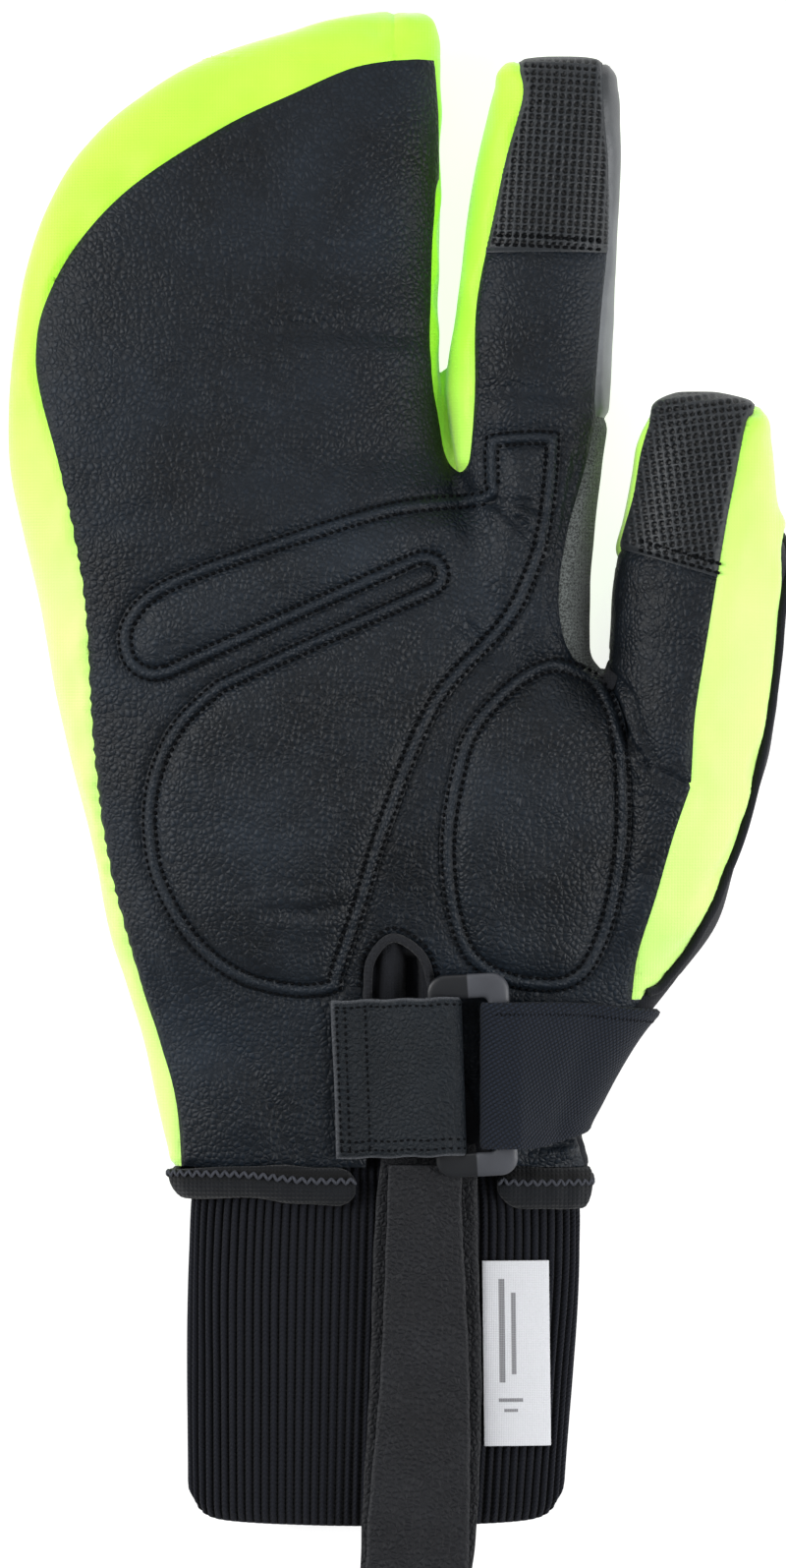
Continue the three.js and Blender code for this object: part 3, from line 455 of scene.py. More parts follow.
# Where each panel lies on the skin: below 0 inside it. Each takes its share in the order of PANEL_LEVELS.
def strip_level(x, y, z):
    return seam_level(STRIP, STRIP_CORNERS, x, y)


def crotch_level(x, y, z):
    return np.maximum(seam_level(CROTCH, CROTCH_CORNERS, x, y), 6 - z)


def finger_gusset_level(x, y, z):
    tip = np.maximum(outline_distance(np.array(GUSSET_TIP), x, y), 8 - z)
    side = np.maximum(8 - z, z - 17 - 3.5 * smooth(112, 85, y))
    side = np.maximum(side, outline_distance(np.array(GUSSET_SIDE), x, y))
    return np.minimum(np.minimum(tip, side), seam_level(FOURCHETTE, FOURCHETTE_CORNERS, x, y))


def index_tip_level(x, y, z):
    return np.maximum(np.maximum(10 - x, 102.5 - y), 12 - z)


def thumb_front_level(x, y, z):
    lower_edge = 22 + 7 * smooth(40, 58, y) * smooth(74.5, 70, y) - 5 * smooth(72, 75, y)
    return np.maximum(seam_level(THUMB_FRONT, THUMB_FRONT_CORNERS, x, y), lower_edge - z)


def thumb_tip_level(x, y, z):
    return 43.3 - 0.3 * (x - 53) - y


def back_thumb_level(x, y, z):
    """Behind the piping and its continuation at both ends."""
    edge = np.concatenate([PIPING_PAST_WRIST, on_front(PIPING_FRONT), PIPING_PAST_TIP])
    edge_x, edge_z = rows_at(y, edge[:, 1], edge[:, [0, 2]]).T
    beyond = np.minimum(edge_x - x, z - edge_z)
    return np.maximum(np.maximum(beyond, 31 - x), seam_level(BACK_THUMB, BACK_THUMB_CORNERS, x, y))


def thumb_side_level(x, y, z):
    return seam_level(THUMB_SIDE, THUMB_SIDE_CORNERS, x, y)


def palm_level(x, y, z):
    gathers = 0.20 * np.sin(1.9 * y + np.sin(0.7 * y)) * smooth(70, 50, y) * smooth(-40, -20, y)
    return np.maximum(seam_level(PALM_SEAM, PALM_CORNERS, x, y) + gathers, 14 - z)


def notch_level(x, y, z):
    return np.maximum(seam_level(NOTCH, NOTCH_CORNERS, x, y), 10 - z)


PANEL_LEVELS = {
    "index_side_strip": strip_level,
    "crotch_gusset": crotch_level,
    "finger_gusset": finger_gusset_level,
    "index_tip_patch": index_tip_level,
    "thumb_front": thumb_front_level,
    "back_thumb_panel": back_thumb_level,
    "thumb_side_panel": thumb_side_level,
    "palm_panel": palm_level,
}


def split(points, faces, level):
    """Cuts the faces where the level crosses zero: points, faces below zero, faces above it."""
    tiny = 0.02
    level = np.where(np.abs(level) < tiny, np.copysign(tiny, level), level)
    below = level < 0
    count = below[faces].sum(axis=1)
    mixed = faces[(count == 1) | (count == 2)]
    lone_below = below[mixed].sum(axis=1) == 1
    lone = np.argmax(below[mixed] == lone_below[:, None], axis=1)
    mixed = np.take_along_axis(mixed, (lone[:, None] + np.arange(3)) % 3, axis=1)
    a, b, c = mixed.T
    edges = np.sort(np.concatenate([np.stack([a, b], 1), np.stack([a, c], 1)]), axis=1)
    edges, place = np.unique(edges, axis=0, return_inverse=True)
    place = place.ravel() + len(points)
    ab, ac = place[:len(a)], place[len(a):]
    t = level[edges[:, 0]] / (level[edges[:, 0]] - level[edges[:, 1]])
    added = points[edges[:, 0]] + t[:, None] * (points[edges[:, 1]] - points[edges[:, 0]])
    alone = np.stack([a, ab, ac], axis=1)
    first, second = np.stack([ab, b, c], axis=1), np.stack([ab, c, ac], axis=1)
    low = [faces[count == 3], alone[lone_below], first[~lone_below], second[~lone_below]]
    high = [faces[count == 0], alone[~lone_below], first[lone_below], second[lone_below]]
    return np.concatenate([points, added]), np.concatenate(low), np.concatenate(high)


def cut_panels(points, faces):
    """The skin's faces sorted into panels, cut along the seams."""
    panels = {}
    points, _, rest = split(points, faces, points[:, 1] - SHELL_END)
    for name, level in PANEL_LEVELS.items():
        points, panels[name], rest = split(points, rest, level(*points.T))
    panels["back_shell"] = rest
    points, _, panels["palm_panel"] = split(points, panels["palm_panel"], notch_level(*points.T))
    points, tip, front = split(points, panels["thumb_front"], thumb_tip_level(*points.T))
    panels["thumb_tip_patch"], panels["thumb_front"] = tip, front
    return points, panels


# Folds, gathers and closed walls
def folds_height(x, y):
    """Height that the palm's folds add at a point."""
    total = np.zeros(x.shape)
    for points, wide, deep in FOLDS:
        run = spline(points, steps=4)
        off, place = np.full(x.shape, 1e9), np.zeros(x.shape)
        for i, (start, end) in enumerate(zip(run[:-1], run[1:])):
            square, t = segment_offset(x, y, start, end)
            distance = np.sqrt(square) / wide
            place = np.where(distance < off, (i + t) / (len(run) - 1), place)
            off = np.minimum(off, distance)
        fade = 0.20 + 0.80 * np.sin(math.pi * (0.08 + 0.84 * place))
        total += deep * fade * (0.5 * np.exp(-((off - 1.7) ** 2)) - np.exp(-(off**2)))
    return total


def palm_relief(points):
    """Height of the soft unevenness of the palm side."""
    x, y, z = points.T
    uneven = 0.42 * waves(points, 17, 3) + 0.15 * waves(points, 7, 4)
    return smooth(12, 20, z) * (folds_height(x, y) + uneven)


def pucker(points, seam_distance):
    """Gathers of the hi-vis cloth along its seams. The strap holds it flat."""
    y = points[:, 1]
    held = smooth(STRAP_BOTTOM - 4, STRAP_BOTTOM, y) * smooth(STRAP_TOP + 5, STRAP_TOP, y)
    near = np.exp(-((seam_distance - 2.6) ** 2) / 7) * smooth(0, 1.2, seam_distance)
    gathers = 0.55 * near * waves(points, 6.5, 11)
    broad = 0.35 * smooth(2, 8, seam_distance) * waves(points, 15, 12)
    return (gathers + broad) * (1 - 0.85 * held)


def seam_groove(seam_distance):
    """How far the cloth sinks beside a seam."""
    return -0.55 * np.exp(-((seam_distance / 0.75) ** 2))


def distance_to(points, seeds):
    """Distance from each point to the nearest seed."""
    tree = KDTree(len(seeds))
    for i, seed in enumerate(seeds):
        tree.insert(Vector(seed), i)
    tree.balance()
    return np.array([tree.find(Vector(p))[2] for p in points])


def face_edges(faces):
    """The directed edges of triangles, side by side."""
    return np.concatenate([faces[:, [0, 1]], faces[:, [1, 2]], faces[:, [2, 0]]])


def open_edges(faces):
    """The directed edges that only one face has."""
    edges = face_edges(faces)
    _, place, count = np.unique(np.sort(edges, axis=1), axis=0, return_inverse=True, return_counts=True)
    return edges[count[place.ravel()] == 1]


def quarter(points, faces):
    """Each face made into four, with the new points set on the skin."""
    edges = np.sort(face_edges(faces), axis=1)
    edges, place = np.unique(edges, axis=0, return_inverse=True)
    ab, bc, ca = place.reshape(3, -1) + len(points)
    middle = to_skin((points[edges[:, 0]] + points[edges[:, 1]]) / 2, 1)
    a, b, c = faces.T
    four = [(a, ab, ca), (ab, b, bc), (ca, bc, c), (ab, bc, ca)]
    return np.concatenate([points, middle]), np.concatenate([np.stack(f, axis=1) for f in four])


def compact(faces):
    """The numbers of the points that the faces use, and the faces numbered by their order."""
    used, place = np.unique(faces, return_inverse=True)
    return used, place.reshape(faces.shape)


def triangles(quads):
    return np.concatenate([quads[:, :3], quads[:, [0, 2, 3]]])


def grid_quads(rows, columns):
    """Quads over a grid of points that are numbered row by row."""
    i = np.arange(rows * columns).reshape(rows, columns)
    return np.stack([i[:-1, :-1], i[1:, :-1], i[1:, 1:], i[:-1, 1:]], axis=2).reshape(-1, 4)


def closed_wall(outer, inner, faces):
    """The faces on the outer points, again on the inner ones, and a rim between the two."""
    edges = open_edges(faces)
    n = len(outer)
    rim = np.concatenate([
        np.stack([edges[:, 1], edges[:, 0], edges[:, 0] + n], axis=1),
        np.stack([edges[:, 1], edges[:, 0] + n, edges[:, 1] + n], axis=1),
    ])
    return np.concatenate([outer, inner]), np.concatenate([faces, faces[:, ::-1] + n, rim])


# Meshes and pieces
def make_piece(name, verts, faces, material, slot, nodes=(), uv=None, sharp=52):
    """A smooth-shaded object in metres that rides on the glove."""
    mesh = bpy.data.meshes.new(name)
    mesh.from_pydata((np.asarray(verts) * MM).tolist(), [], np.asarray(faces).tolist())
    if uv is not None:
        layer = mesh.uv_layers.new(name="mm")
        layer.data.foreach_set("uv", np.asarray(uv, np.float32).ravel())
    mesh.polygons.foreach_set("use_smooth", [True] * len(mesh.polygons))
    mesh.set_sharp_from_angle(angle=math.radians(sharp))
    mesh.materials.append(material)
    mesh.update()
    piece = bpy.data.objects.new(name, mesh)
    bpy.context.scene.collection.objects.link(piece)
    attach(piece, "root")
    if nodes:
        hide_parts(*nodes)
    return piece


def make_threads(name, threads, material, slot="black_trim"):
    """A piece of stitches, smooth all over."""
    make_piece(name, *threads, material, slot, sharp=180)


def loft(rings, loop=False):
    """Quads through rings of equal point counts, and a (along, around) index pair per corner.

    loop joins the last ring to the first. Otherwise both ends are closed by strips."""
    n, m = rings.shape[:2]
    i, j = np.meshgrid(np.arange(n if loop else n - 1), np.arange(m), indexing="ij")
    i, j = i.ravel(), j.ravel()
    along = np.stack([i, i, i + 1, i + 1], axis=1)
    around = np.stack([j, j + 1, j + 1, j], axis=1)
    faces = (along % n) * m + around % m
    marks = np.stack([along, around], axis=2).astype(float)
    if not loop:
        k = np.arange(m // 2 - 1)
        cap = np.stack([k, k + 1, m - 2 - k, m - 1 - k], axis=1)
        faces = np.concatenate([faces, cap[:, ::-1], cap + (n - 1) * m])
        start = np.stack([np.zeros(cap.shape), cap[:, ::-1]], axis=2)
        end = np.stack([np.full(cap.shape, n - 1), cap], axis=2)
        marks = np.concatenate([marks, start, end])
    return rings.reshape(-1, 3), faces, marks


def ribbon(centre, half, pitch=(1.0, 1.0), flip=False):
    """A closed band round a grid of centre points (along, across, 3), with half its thickness.

    Its marks are (along, across), at a pitch for each step of the grid. flip turns its outside out
    where the grid runs the other way round."""
    along, across = np.gradient(centre, axis=0), np.gradient(centre, axis=1)
    normal = unit(np.cross(across, along)) * (-1 if flip else 1)
    offset = normal * np.broadcast_to(half, centre.shape[:2])[..., None]
    rings = np.concatenate([centre + offset, (centre - offset)[:, ::-1]], axis=1)
    verts, faces, marks = loft(rings)
    m = centre.shape[1]
    marks[..., 1] = np.where(marks[..., 1] > m - 0.5, 2 * m - 1 - marks[..., 1], marks[..., 1])
    return verts, faces, marks * pitch


def edge_round(count, radius_steps, low=0.35):
    """Share of full thickness at each of the points across a band: thinner at both edges."""
    k = np.arange(count)
    inset = np.minimum(k, count - 1 - k) / radius_steps
    return low + (1 - low) * np.sqrt(1 - (1 - np.clip(inset, 0, 1)) ** 2)


def circle_round(across, lift, sides):
    """A circle of offsets at each point, from its two directions across."""
    angle = np.arange(sides) * 2 * math.pi / sides
    return across[:, None] * np.cos(angle)[:, None] + lift[:, None] * np.sin(angle)[:, None]


def tube(path, radius, sides, ups):
    """A round closed tube along a path with its up vectors."""
    tangent = unit(np.gradient(path, axis=0))
    across = unit(np.cross(tangent, ups))
    verts, faces, _ = loft(path[:, None] + radius * circle_round(across, np.cross(across, tangent), sides))
    return verts, faces


def join(parts):
    """One list of points and faces out of several."""
    verts, faces, start = [], [], 0
    for v, f in parts:
        verts.append(v)
        faces.append(np.asarray(f) + start)
        start += len(v)
    return np.concatenate(verts), np.concatenate(faces)


def stitches(centres, tangents, ups, length=STITCH_LENGTH, radius=THREAD, seed=1):
    """Short sewn threads: each one a tube with a raised middle and round ends."""
    random = np.random.default_rng(seed)
    stations = np.array([-0.5, -0.42, -0.2, 0.2, 0.42, 0.5])
    size = np.array([0.25, 0.75, 1.0, 1.0, 0.75, 0.25]) * radius
    sink = np.array([-0.9, -0.45, 0.1, 0.1, -0.45, -0.9]) * radius
    turn = random.normal(0, 0.05, len(centres))[:, None]
    tangents = unit(tangents + turn * unit(np.cross(tangents, ups)))
    across = unit(np.cross(tangents, ups))
    lift = np.cross(across, tangents)
    axis = centres[:, None] + tangents[:, None] * (stations * length)[:, None]
    axis = axis + lift[:, None] * sink[:, None]
    rings = axis[:, :, None] + size[:, None, None] * circle_round(across, lift, 6)[:, None]
    one = loft(rings[0])[1]
    count = rings.shape[1] * rings.shape[2]
    faces = (one[None] + (np.arange(len(centres)) * count)[:, None, None]).reshape(-1, 4)
    return rings.reshape(-1, 3), faces


def zigzag(path, ups, pitch, lean, length, radius, seed):
    """Threads along a path that lean to one side and the other by turns."""
    centres, along = resample(path, pitch)
    nearest = [int(np.argmin(np.linalg.norm(path - centre, axis=1))) for centre in centres]
    up = ups[nearest]
    side = unit(np.cross(up, along))
    turn = np.where(np.arange(len(centres)) % 2, lean, -lean)[:, None]
    return stitches(centres, unit(along + side * turn), up, length, radius, seed)


# Heights of the palm side
def on_front(run):
    """Points on the plain skin of the palm side, found from above, over (x, y) pairs."""
    run = np.asarray(run, float)
    points = np.column_stack([run, np.full(len(run), ABOVE_ALL)])
    for _ in range(14):
        points[:, 2] -= glove_distance(*points.T)
    return points


def on_palm(run, above=0.0):
    """Points on the palm side with its folds, at a height above it, over (x, y) pairs."""
    points = on_front(run)
    points[:, 2] += palm_relief(points) + above
    return points


def line_of_stitches(line, above, seed, pitch=STITCH_PITCH, length=STITCH_LENGTH):
    """Stitches along a smooth line of (x, y) pairs on the palm side."""
    path, tangent = resample(spline(line), pitch)
    centres = on_palm(path, above)
    tangents = np.column_stack([tangent, np.zeros(len(tangent))])
    normals = glove_normal(centres)
    tangents = unit(tangents - normals * np.sum(tangents * normals, 1)[:, None])
    return stitches(centres, tangents, normals, length=length, seed=seed)


# Padded layers with twin rows of stitching
def pad_profile(inset, crown):
    """Height of a pad above the palm at a distance inside its edge."""
    edge = -0.45 + 0.95 * smooth(0, 1.3, inset)
    ridge = 0.35 * np.exp(-(((inset - (SEW_INSET + SEW_INNER) / 2) / 0.8) ** 2))
    rows = 0.15 * np.exp(-(((inset - SEW_INSET) / 0.5) ** 2))
    rows = rows + 0.50 * np.exp(-(((inset - SEW_INNER) / 0.6) ** 2))
    puff = crown * (1 - np.exp(-np.clip(inset - SEW_INNER, 0, None) / 2.4))
    return edge + ridge - rows + puff


def pad_bed(x, y):
    """Depth of the palm round and under the pads, so that their edges lie in a groove."""
    total = np.zeros(x.shape)
    for points in (OVERLAY, THENAR):
        outside = outline_distance(spline(points, closed=True), x, y)
        total = np.minimum(total, -0.50 * np.exp(-((np.maximum(outside, 0) / 0.9) ** 2)))
        total = total - 0.45 * smooth(0, -1.2, outside)
    return total


def make_pad(name, points, crown, material, thread):
    """A padded layer inside a closed outline, and the piece that holds its stitches."""
    edge = spline(points, closed=True)
    low, high = edge.min(axis=0) - 1, edge.max(axis=0) + 1
    grid = np.meshgrid(*[np.arange(a, b, PAD_STEP) for a, b in zip(low, high)], indexing="ij")
    flat = np.stack([axis.ravel() for axis in grid], axis=1)
    faces = triangles(grid_quads(*grid[0].shape))
    flat, faces, _ = split(flat, faces, outline_distance(edge, *flat.T))
    used, faces = compact(faces)
    flat = flat[used]
    inset = np.maximum(-outline_distance(edge, *flat.T), 0)
    ground = on_palm(flat)
    rise = pad_profile(inset, crown) + 0.10 * smooth(3, 9, inset) * waves(ground, 9, 21)
    top = ground + rise[:, None] * UP
    verts, faces = closed_wall(top, ground - PAD_DEPTH * UP, faces)
    uv = np.tile(np.stack([inset, 0 * inset], axis=1), (2, 1))[faces]
    pad = make_piece(name + "_leather", verts, faces, material, "pad_leather", [name], uv)
    rows = [sew_row(edge, inset_of_row, crown) for inset_of_row in (SEW_INSET, SEW_INNER)]
    make_threads(name + "_stitches", join(rows), thread)


def sew_row(edge, inset, crown):
    """Stitches at a distance inside a closed outline."""
    path, tangent = resample(np.concatenate([edge, edge[:1]]), 0.25)
    ahead = np.roll(edge, -1, axis=0)
    turn = np.sign(np.sum(edge[:, 0] * ahead[:, 1] - ahead[:, 0] * edge[:, 1]))
    path = path + np.stack([-tangent[:, 1], tangent[:, 0]], axis=1) * turn * inset
    path = path[-outline_distance(edge, *path.T) > inset - 0.08]
    jumps = np.nonzero(np.linalg.norm(np.diff(path, axis=0), axis=1) > 1.5)[0] + 1
    runs = [resample(run, STITCH_PITCH) for run in np.split(path, jumps) if len(run) > 4]
    centres, tangents = [np.concatenate(part) for part in zip(*runs)]
    height = pad_profile(np.full(len(centres), inset), crown) + 0.2
    centres = on_palm(centres) + height[:, None] * UP
    tangents = np.column_stack([tangents, np.zeros(len(tangents))])
    return stitches(centres, tangents, UP, seed=int(inset * 10))


# Knit cuff
def cuff_ring(share, rise):
    """One ring of the cuff, raised by rise, at a share of the way down, and how far its sides bow up."""
    points, outward = even_section(CUFF, CUFF_TOP + (CUFF_END - CUFF_TOP) * share, len(rise))
    across = 2 * (points[:, 0] - points[:, 0].min()) / np.ptp(points[:, 0]) - 1
    return points + outward * rise[:, None], 1.3 * across**2 + 3.5 * np.abs(across) ** 16


def make_cuff(material):
    """The cuff: rounded ribs outside, shallow ones inside, and a folded lower edge."""
    per_rib = 8
    phase = np.arange(RIBS * per_rib) / per_rib
    rib = np.abs(np.sin(math.pi * phase)) ** 0.75
    rows = np.concatenate([np.linspace(0, 0.97, 44), [0.982, 0.991, 0.997]])
    sway = np.cumsum(np.random.default_rng(5).normal(0, 0.05, len(rows)))
    rings = []
    for share, drift in zip(rows, sway):
        tuck = 1.1 * smooth(0.95, 1.0, share) ** 2
        relief = (rib - 0.75) * RIB_DEPTH * (1 - 0.5 * smooth(0.97, 1, share)) - tuck
        ripple = 0.10 * np.sin(phase * 0.9 + share * 9 + drift)
        ring, bow = cuff_ring(share, relief + ripple)
        ring[:, 1] += bow * smooth(0, 1, share) ** 2
        ring[:, 2] = np.maximum(ring[:, 2], 0.02)
        rings.append(ring)
    for share in (0.997, 0.985, 0.9, 0.6, 0.3, 0.0):
        ring, bow = cuff_ring(share, smooth(0.98, 1.0, share) - CUFF_WALL - 0.15 * rib)
        ring[:, 1] += bow * share**2 + 0.3 * smooth(0.97, 1, share)
        rings.append(ring)
    verts, faces, marks = loft(np.array(rings), loop=True)
    marks[..., 1] /= per_rib
    make_piece("rib_cuff", verts, faces, material, "rib_knit", ["knit_cuff"], uv=marks[..., ::-1])


# Wrist hem
def make_hem(material, thread):
    """The rolled hem, from one side of the notch round the back to the other, and its overlock."""
    hand_end = {"power": HAND["power"], "rows": HAND["rows"][:3]}
    count = 360
    points, outward = even_section(hand_end, -71.0, count, grow=0.4, first=0.0)
    gap = (points[:, 2] > 13) & (points[:, 0] > HEM_GAP[0]) & (points[:, 0] < HEM_GAP[1])
    keep = np.roll(np.arange(count), -np.nonzero(gap)[0].max() - 1)
    keep = keep[~gap[keep]]
    points, outward = points[keep], outward[keep]
    x = points[:, 0]
    front = smooth(12, 17, points[:, 2])
    droop = HEM_DROOP * front * (smooth(-32, -14, x) + 0.3 * smooth(18, 24, x))
    half_y = HEM_HALF + droop / 2 + 0.25 * waves(points, 5, 31)
    half_out = 1.7 + 0.25 * waves(points, 2.2, 32)
    end = np.minimum(np.arange(len(points)), np.arange(len(points))[::-1])
    ease = np.sqrt(1 - (1 - np.clip((end + 0.4) / 8, 0, 1)) ** 2)
    angle = np.arange(16) * 2 * math.pi / 16
    lean = 0.10 + 0.30 * smooth(10, -30, x)
    ring_y = np.cos(angle)[None] * (half_y * ease)[:, None]
    ring_out = np.sin(angle)[None] * (half_out * ease)[:, None] + ring_y * lean[:, None]
    centre = points - outward * (2.2 - 1.25 * front)[:, None]
    centre[:, 1] = HEM_MIDDLE - droop / 2 + 0.35 * waves(points, 14, 33)
    rings = centre[:, None] + outward[:, None] * ring_out[..., None]
    rings[..., 1] += ring_y
    rings[..., 2] = np.maximum(rings[..., 2], 0.02)
    verts, faces, marks = loft(rings)
    make_piece("rolled_hem", verts, faces, material, "black_trim", ["wrist_hem"], uv=marks)
    row = centre + outward * (0.85 * half_out + 1.6 * lean + 0.15)[:, None]
    row[:, 1] = HEM_MIDDLE + 1.6 - droop
    threads = zigzag(row, outward, pitch=0.92, lean=1.2, length=1.8, radius=0.31, seed=41)
    make_threads("hem_overlock", threads, thread)


# Label on the cuff
def make_label(material):
    """The label lies on the cuff with a faint wave."""
    rows, columns = 60, 26
    y = np.linspace(LABEL["top"], LABEL["bottom"], rows)[:, None]
    left, right, back, front = section(CUFF, y[:, 0])[..., None]
    share = np.linspace(0, 1, columns)[None]
    x = LABEL["left"] + 0.012 * (LABEL["top"] - y) + LABEL["wide"] * share
    power, above = CUFF["power"], LABEL["above"]
    across = np.abs((2 * x - (left + right)) / ((right - left) + 2 * above))
    z = (front + back) / 2 + ((front - back) / 2 + above) * (1 - across**power) ** (1 / power)
    length = np.linspace(0, 1, rows)[:, None]
    z = z + 0.06 * np.sin(7 * length + 3 * share) + 0.10 * np.sin(2.5 + 5 * length) * (share - 0.5)
    centre = np.stack([x, np.broadcast_to(y, x.shape), z], axis=2)
    high = LABEL["top"] - LABEL["bottom"]
    pitch = (high / (rows - 1), LABEL["wide"] / (columns - 1))
    verts, faces, marks = ribbon(centre, LABEL["thick"] / 2 * edge_round(columns, 2), pitch)
    label = make_piece("label", verts, faces, material, "woven_label", ["cuff_label"], marks[..., ::-1])


# Strap, tab, buckle and pull loop
def wrist_plane(y, rise):
    """Height of the strap's sloping plane plus a rise above it."""
    return BUCKLE["z"] + (y - BUCKLE["y"]) * WRIST_SLOPE + rise


def turned(x, y, angle):
    """Points of the buckle's own frame, turned by an angle and set in their place."""
    c, s = math.cos(angle), math.sin(angle)
    return x * c - y * s + BUCKLE["x"], x * s + y * c + BUCKLE["y"]


def make_buckle(material):
    """A rounded rectangular ring with a soft section."""
    outer = rounded_rectangle(BUCKLE["wide"], BUCKLE["high"], 3.4)
    inner = rounded_rectangle(BUCKLE["wide"] - 2 * BUCKLE["bar"], BUCKLE["high"] - 2 * BUCKLE["end"], 1.2)
    sides = 20
    reach, rise = squared_circle(np.arange(sides) * 2 * math.pi / sides, 0.55)
    middle, half = (outer + inner) / 2, (outer - inner) / 2
    flat = middle[:, None] + half[:, None] * reach[:, None]
    x, y = turned(flat[..., 0], flat[..., 1], BUCKLE["tilt"])
    thickness = BUCKLE["thick"] * np.where(flat[..., 0] > 0, 1.0, 0.86)
    z = wrist_plane(y, rise * thickness / 2)
    verts, faces, _ = loft(np.stack([x, y, z], axis=2), loop=True)
    faces = faces[:, ::-1]
    uv = flat.reshape(-1, 2)[faces]
    make_piece("ring_buckle", verts, faces, material, "buckle_plastic", ["buckle"], uv)


def rounded_rectangle(wide, high, radius, count=144):
    """Points round a rounded rectangle, a quarter of them to each corner and its half sides."""
    corner, share = np.divmod(np.arange(count) * 4 / count, 1)
    sign = np.array([(1, 1), (-1, 1), (-1, -1), (1, -1)])[corner.astype(int)]
    cx, cy = sign[:, 0] * (wide / 2 - radius), sign[:, 1] * (high / 2 - radius)
    bend = (np.clip((share - 0.25) / 0.5, 0, 1) + corner) * math.pi / 2
    start = 1 - np.clip(share / 0.25, 0, 1)
    stop = np.clip((share - 0.75) / 0.25, 0, 1)
    odd = corner % 2 == 1
    x = cx + radius * np.cos(bend) - cx * np.where(odd, start, stop)
    y = cy + radius * np.sin(bend) - cy * np.where(odd, stop, start)
    return np.stack([x, y], axis=1)


def make_tab(material, thread):
    """The leather tab: from its sewn left end over the buckle's left bar, round it and back."""
    path, _ = resample(spline(TAB_PATH), TAB["pitch"])
    columns = 44
    share = np.linspace(-0.5, 0.5, columns)
    x = path[:, :1] + 0 * share - BUCKLE["x"]
    y = share * TAB["high"] + 0.1 * np.sin(path[:, :1] * 0.9)
    x, y = turned(x, y, TAB["tilt"])
    sag = 0.18 * np.sin(x * 0.7 + y * 0.25)
    centre = np.stack([x, y, wrist_plane(y, path[:, 1:] + sag)], axis=2)
    half = TAB["half"] * edge_round(columns, 2, 0.55)
    pitch = (TAB["pitch"], TAB["high"] / (columns - 1))
    verts, faces, marks = ribbon(centre, half, pitch, flip=True)
    tab = make_piece("leather_tab", verts, faces, material, "strap_leather", ["strap_tab"], marks)
    top_end = np.nonzero(path[:, 1] > -1.6)[0].max() - 4
    rows = [band_row(centre, column, slice(1, top_end)) for column in (2, 4.5, 41)]
    sideways = centre.transpose(1, 0, 2)
    rows += [band_row(sideways, row, slice(2, 42)) for row in (2, 5.5, 14)]
    make_threads("tab_stitches", join(rows), thread)


def band_row(centre, place, span):
    """Stitches on the tab along a span of its grid, at a place between two columns."""
    low = int(place)
    mix = place - low
    path = centre[span, low] * (1 - mix) + centre[span, low + 1] * mix
    points, tangent = resample(path, STITCH_PITCH * 0.95)
    up = unit(np.cross(unit(np.cross(tangent, UP)), tangent))
    return stitches(points + up * TAB["half"], tangent, up, radius=0.22, seed=51)


def webbing_line(y):
    """Points along the webbing at one y: round the buckle's bar, over the wrist, round its back."""
    count = 720
    points, outward = even_section(HAND, y, count, first=0.0)
    skin = points + outward * WEB_ABOVE
    front = (skin[:, 0] > skin[:, 0].max() - 5.5) & (skin[:, 2] > 12)
    first = np.nonzero(front[:count // 3])[0].max()
    last = np.nonzero((skin[:, 2] < 12) & (skin[:, 0] < -37))[0].max()
    skin = skin[np.arange(first, last - count, -1)]
    x, rise = np.array(WEB_FOLD).T
    fold = np.stack([x, np.full(len(x), y), wrist_plane(y, rise)], axis=1)
    whole = np.concatenate([spline(fold, steps=5), skin[4:-3:6], skin[-1:]])
    return resample(whole, WEB_PITCH)[0]


def settle(centre, along):
    """The webbing's grid laid on the skin past the fold, and evened out along its length."""
    loose = centre[WEB_FREE:].reshape(-1, 3)
    skin = to_skin(loose)
    skin = skin + glove_normal(skin) * WEB_ABOVE
    on_skin = smooth(2.6, 1.2, glove_distance(*loose.T))[:, None]
    centre[WEB_FREE:] += (on_skin * (skin - loose)).reshape(centre[WEB_FREE:].shape)
    share = smooth(24, 34, along[1:-1])[:, None, None]
    for _ in range(20):
        middle = (centre[:-2] + 2 * centre[1:-1] + centre[2:]) / 4
        centre[1:-1] += share * (middle - centre[1:-1])
    centre[..., 2] = np.maximum(centre[..., 2], 0.85)


def make_webbing(material, thread):
    """The elastic band: folded round the buckle's right bar, over the wrist and round its back."""
    across = 40
    lines = [webbing_line(y) for y in np.linspace(STRAP_TOP - 0.3, STRAP_BOTTOM + 0.3, across)]
    count = min(len(line) for line in lines)
    lines = [rows_at(np.linspace(0, len(line) - 1, count), np.arange(len(line)), line) for line in lines]
    centre = np.stack(lines, axis=1)
    along = WEB_PITCH * np.arange(count)
    narrow = (smooth(22, 44, along) * (1 - smooth(56, 72, along)))[:, None]
    share = (centre[..., 1] - STRAP_BOTTOM) / (STRAP_TOP - STRAP_BOTTOM)
    low, high = STRAP_BOTTOM - 0.6 + 3.4 * narrow, STRAP_TOP - 2.2 * narrow
    centre[..., 1] = low + share * (high - low)
    settle(centre, along)
    pitch = (WEB_PITCH, (STRAP_TOP - STRAP_BOTTOM) / (across - 1))
    verts, faces, marks = ribbon(centre, 0.75 * edge_round(across, 1.5, 0.6), pitch, flip=True)
    web = make_piece("elastic_webbing", verts, faces, material, "webbing", ["strap_webbing"], marks)
    flat = (float((high - low).mean()) * MM, WEB_PITCH * (count - 1) * MM)
    edge = centre[15:, 3]
    ups = glove_normal(edge)
    threads = zigzag(edge + ups * 0.62, ups, pitch=0.82, lean=1.3, length=1.25, radius=0.2, seed=71)
    make_threads("webbing_stitches", threads, thread, "webbing")


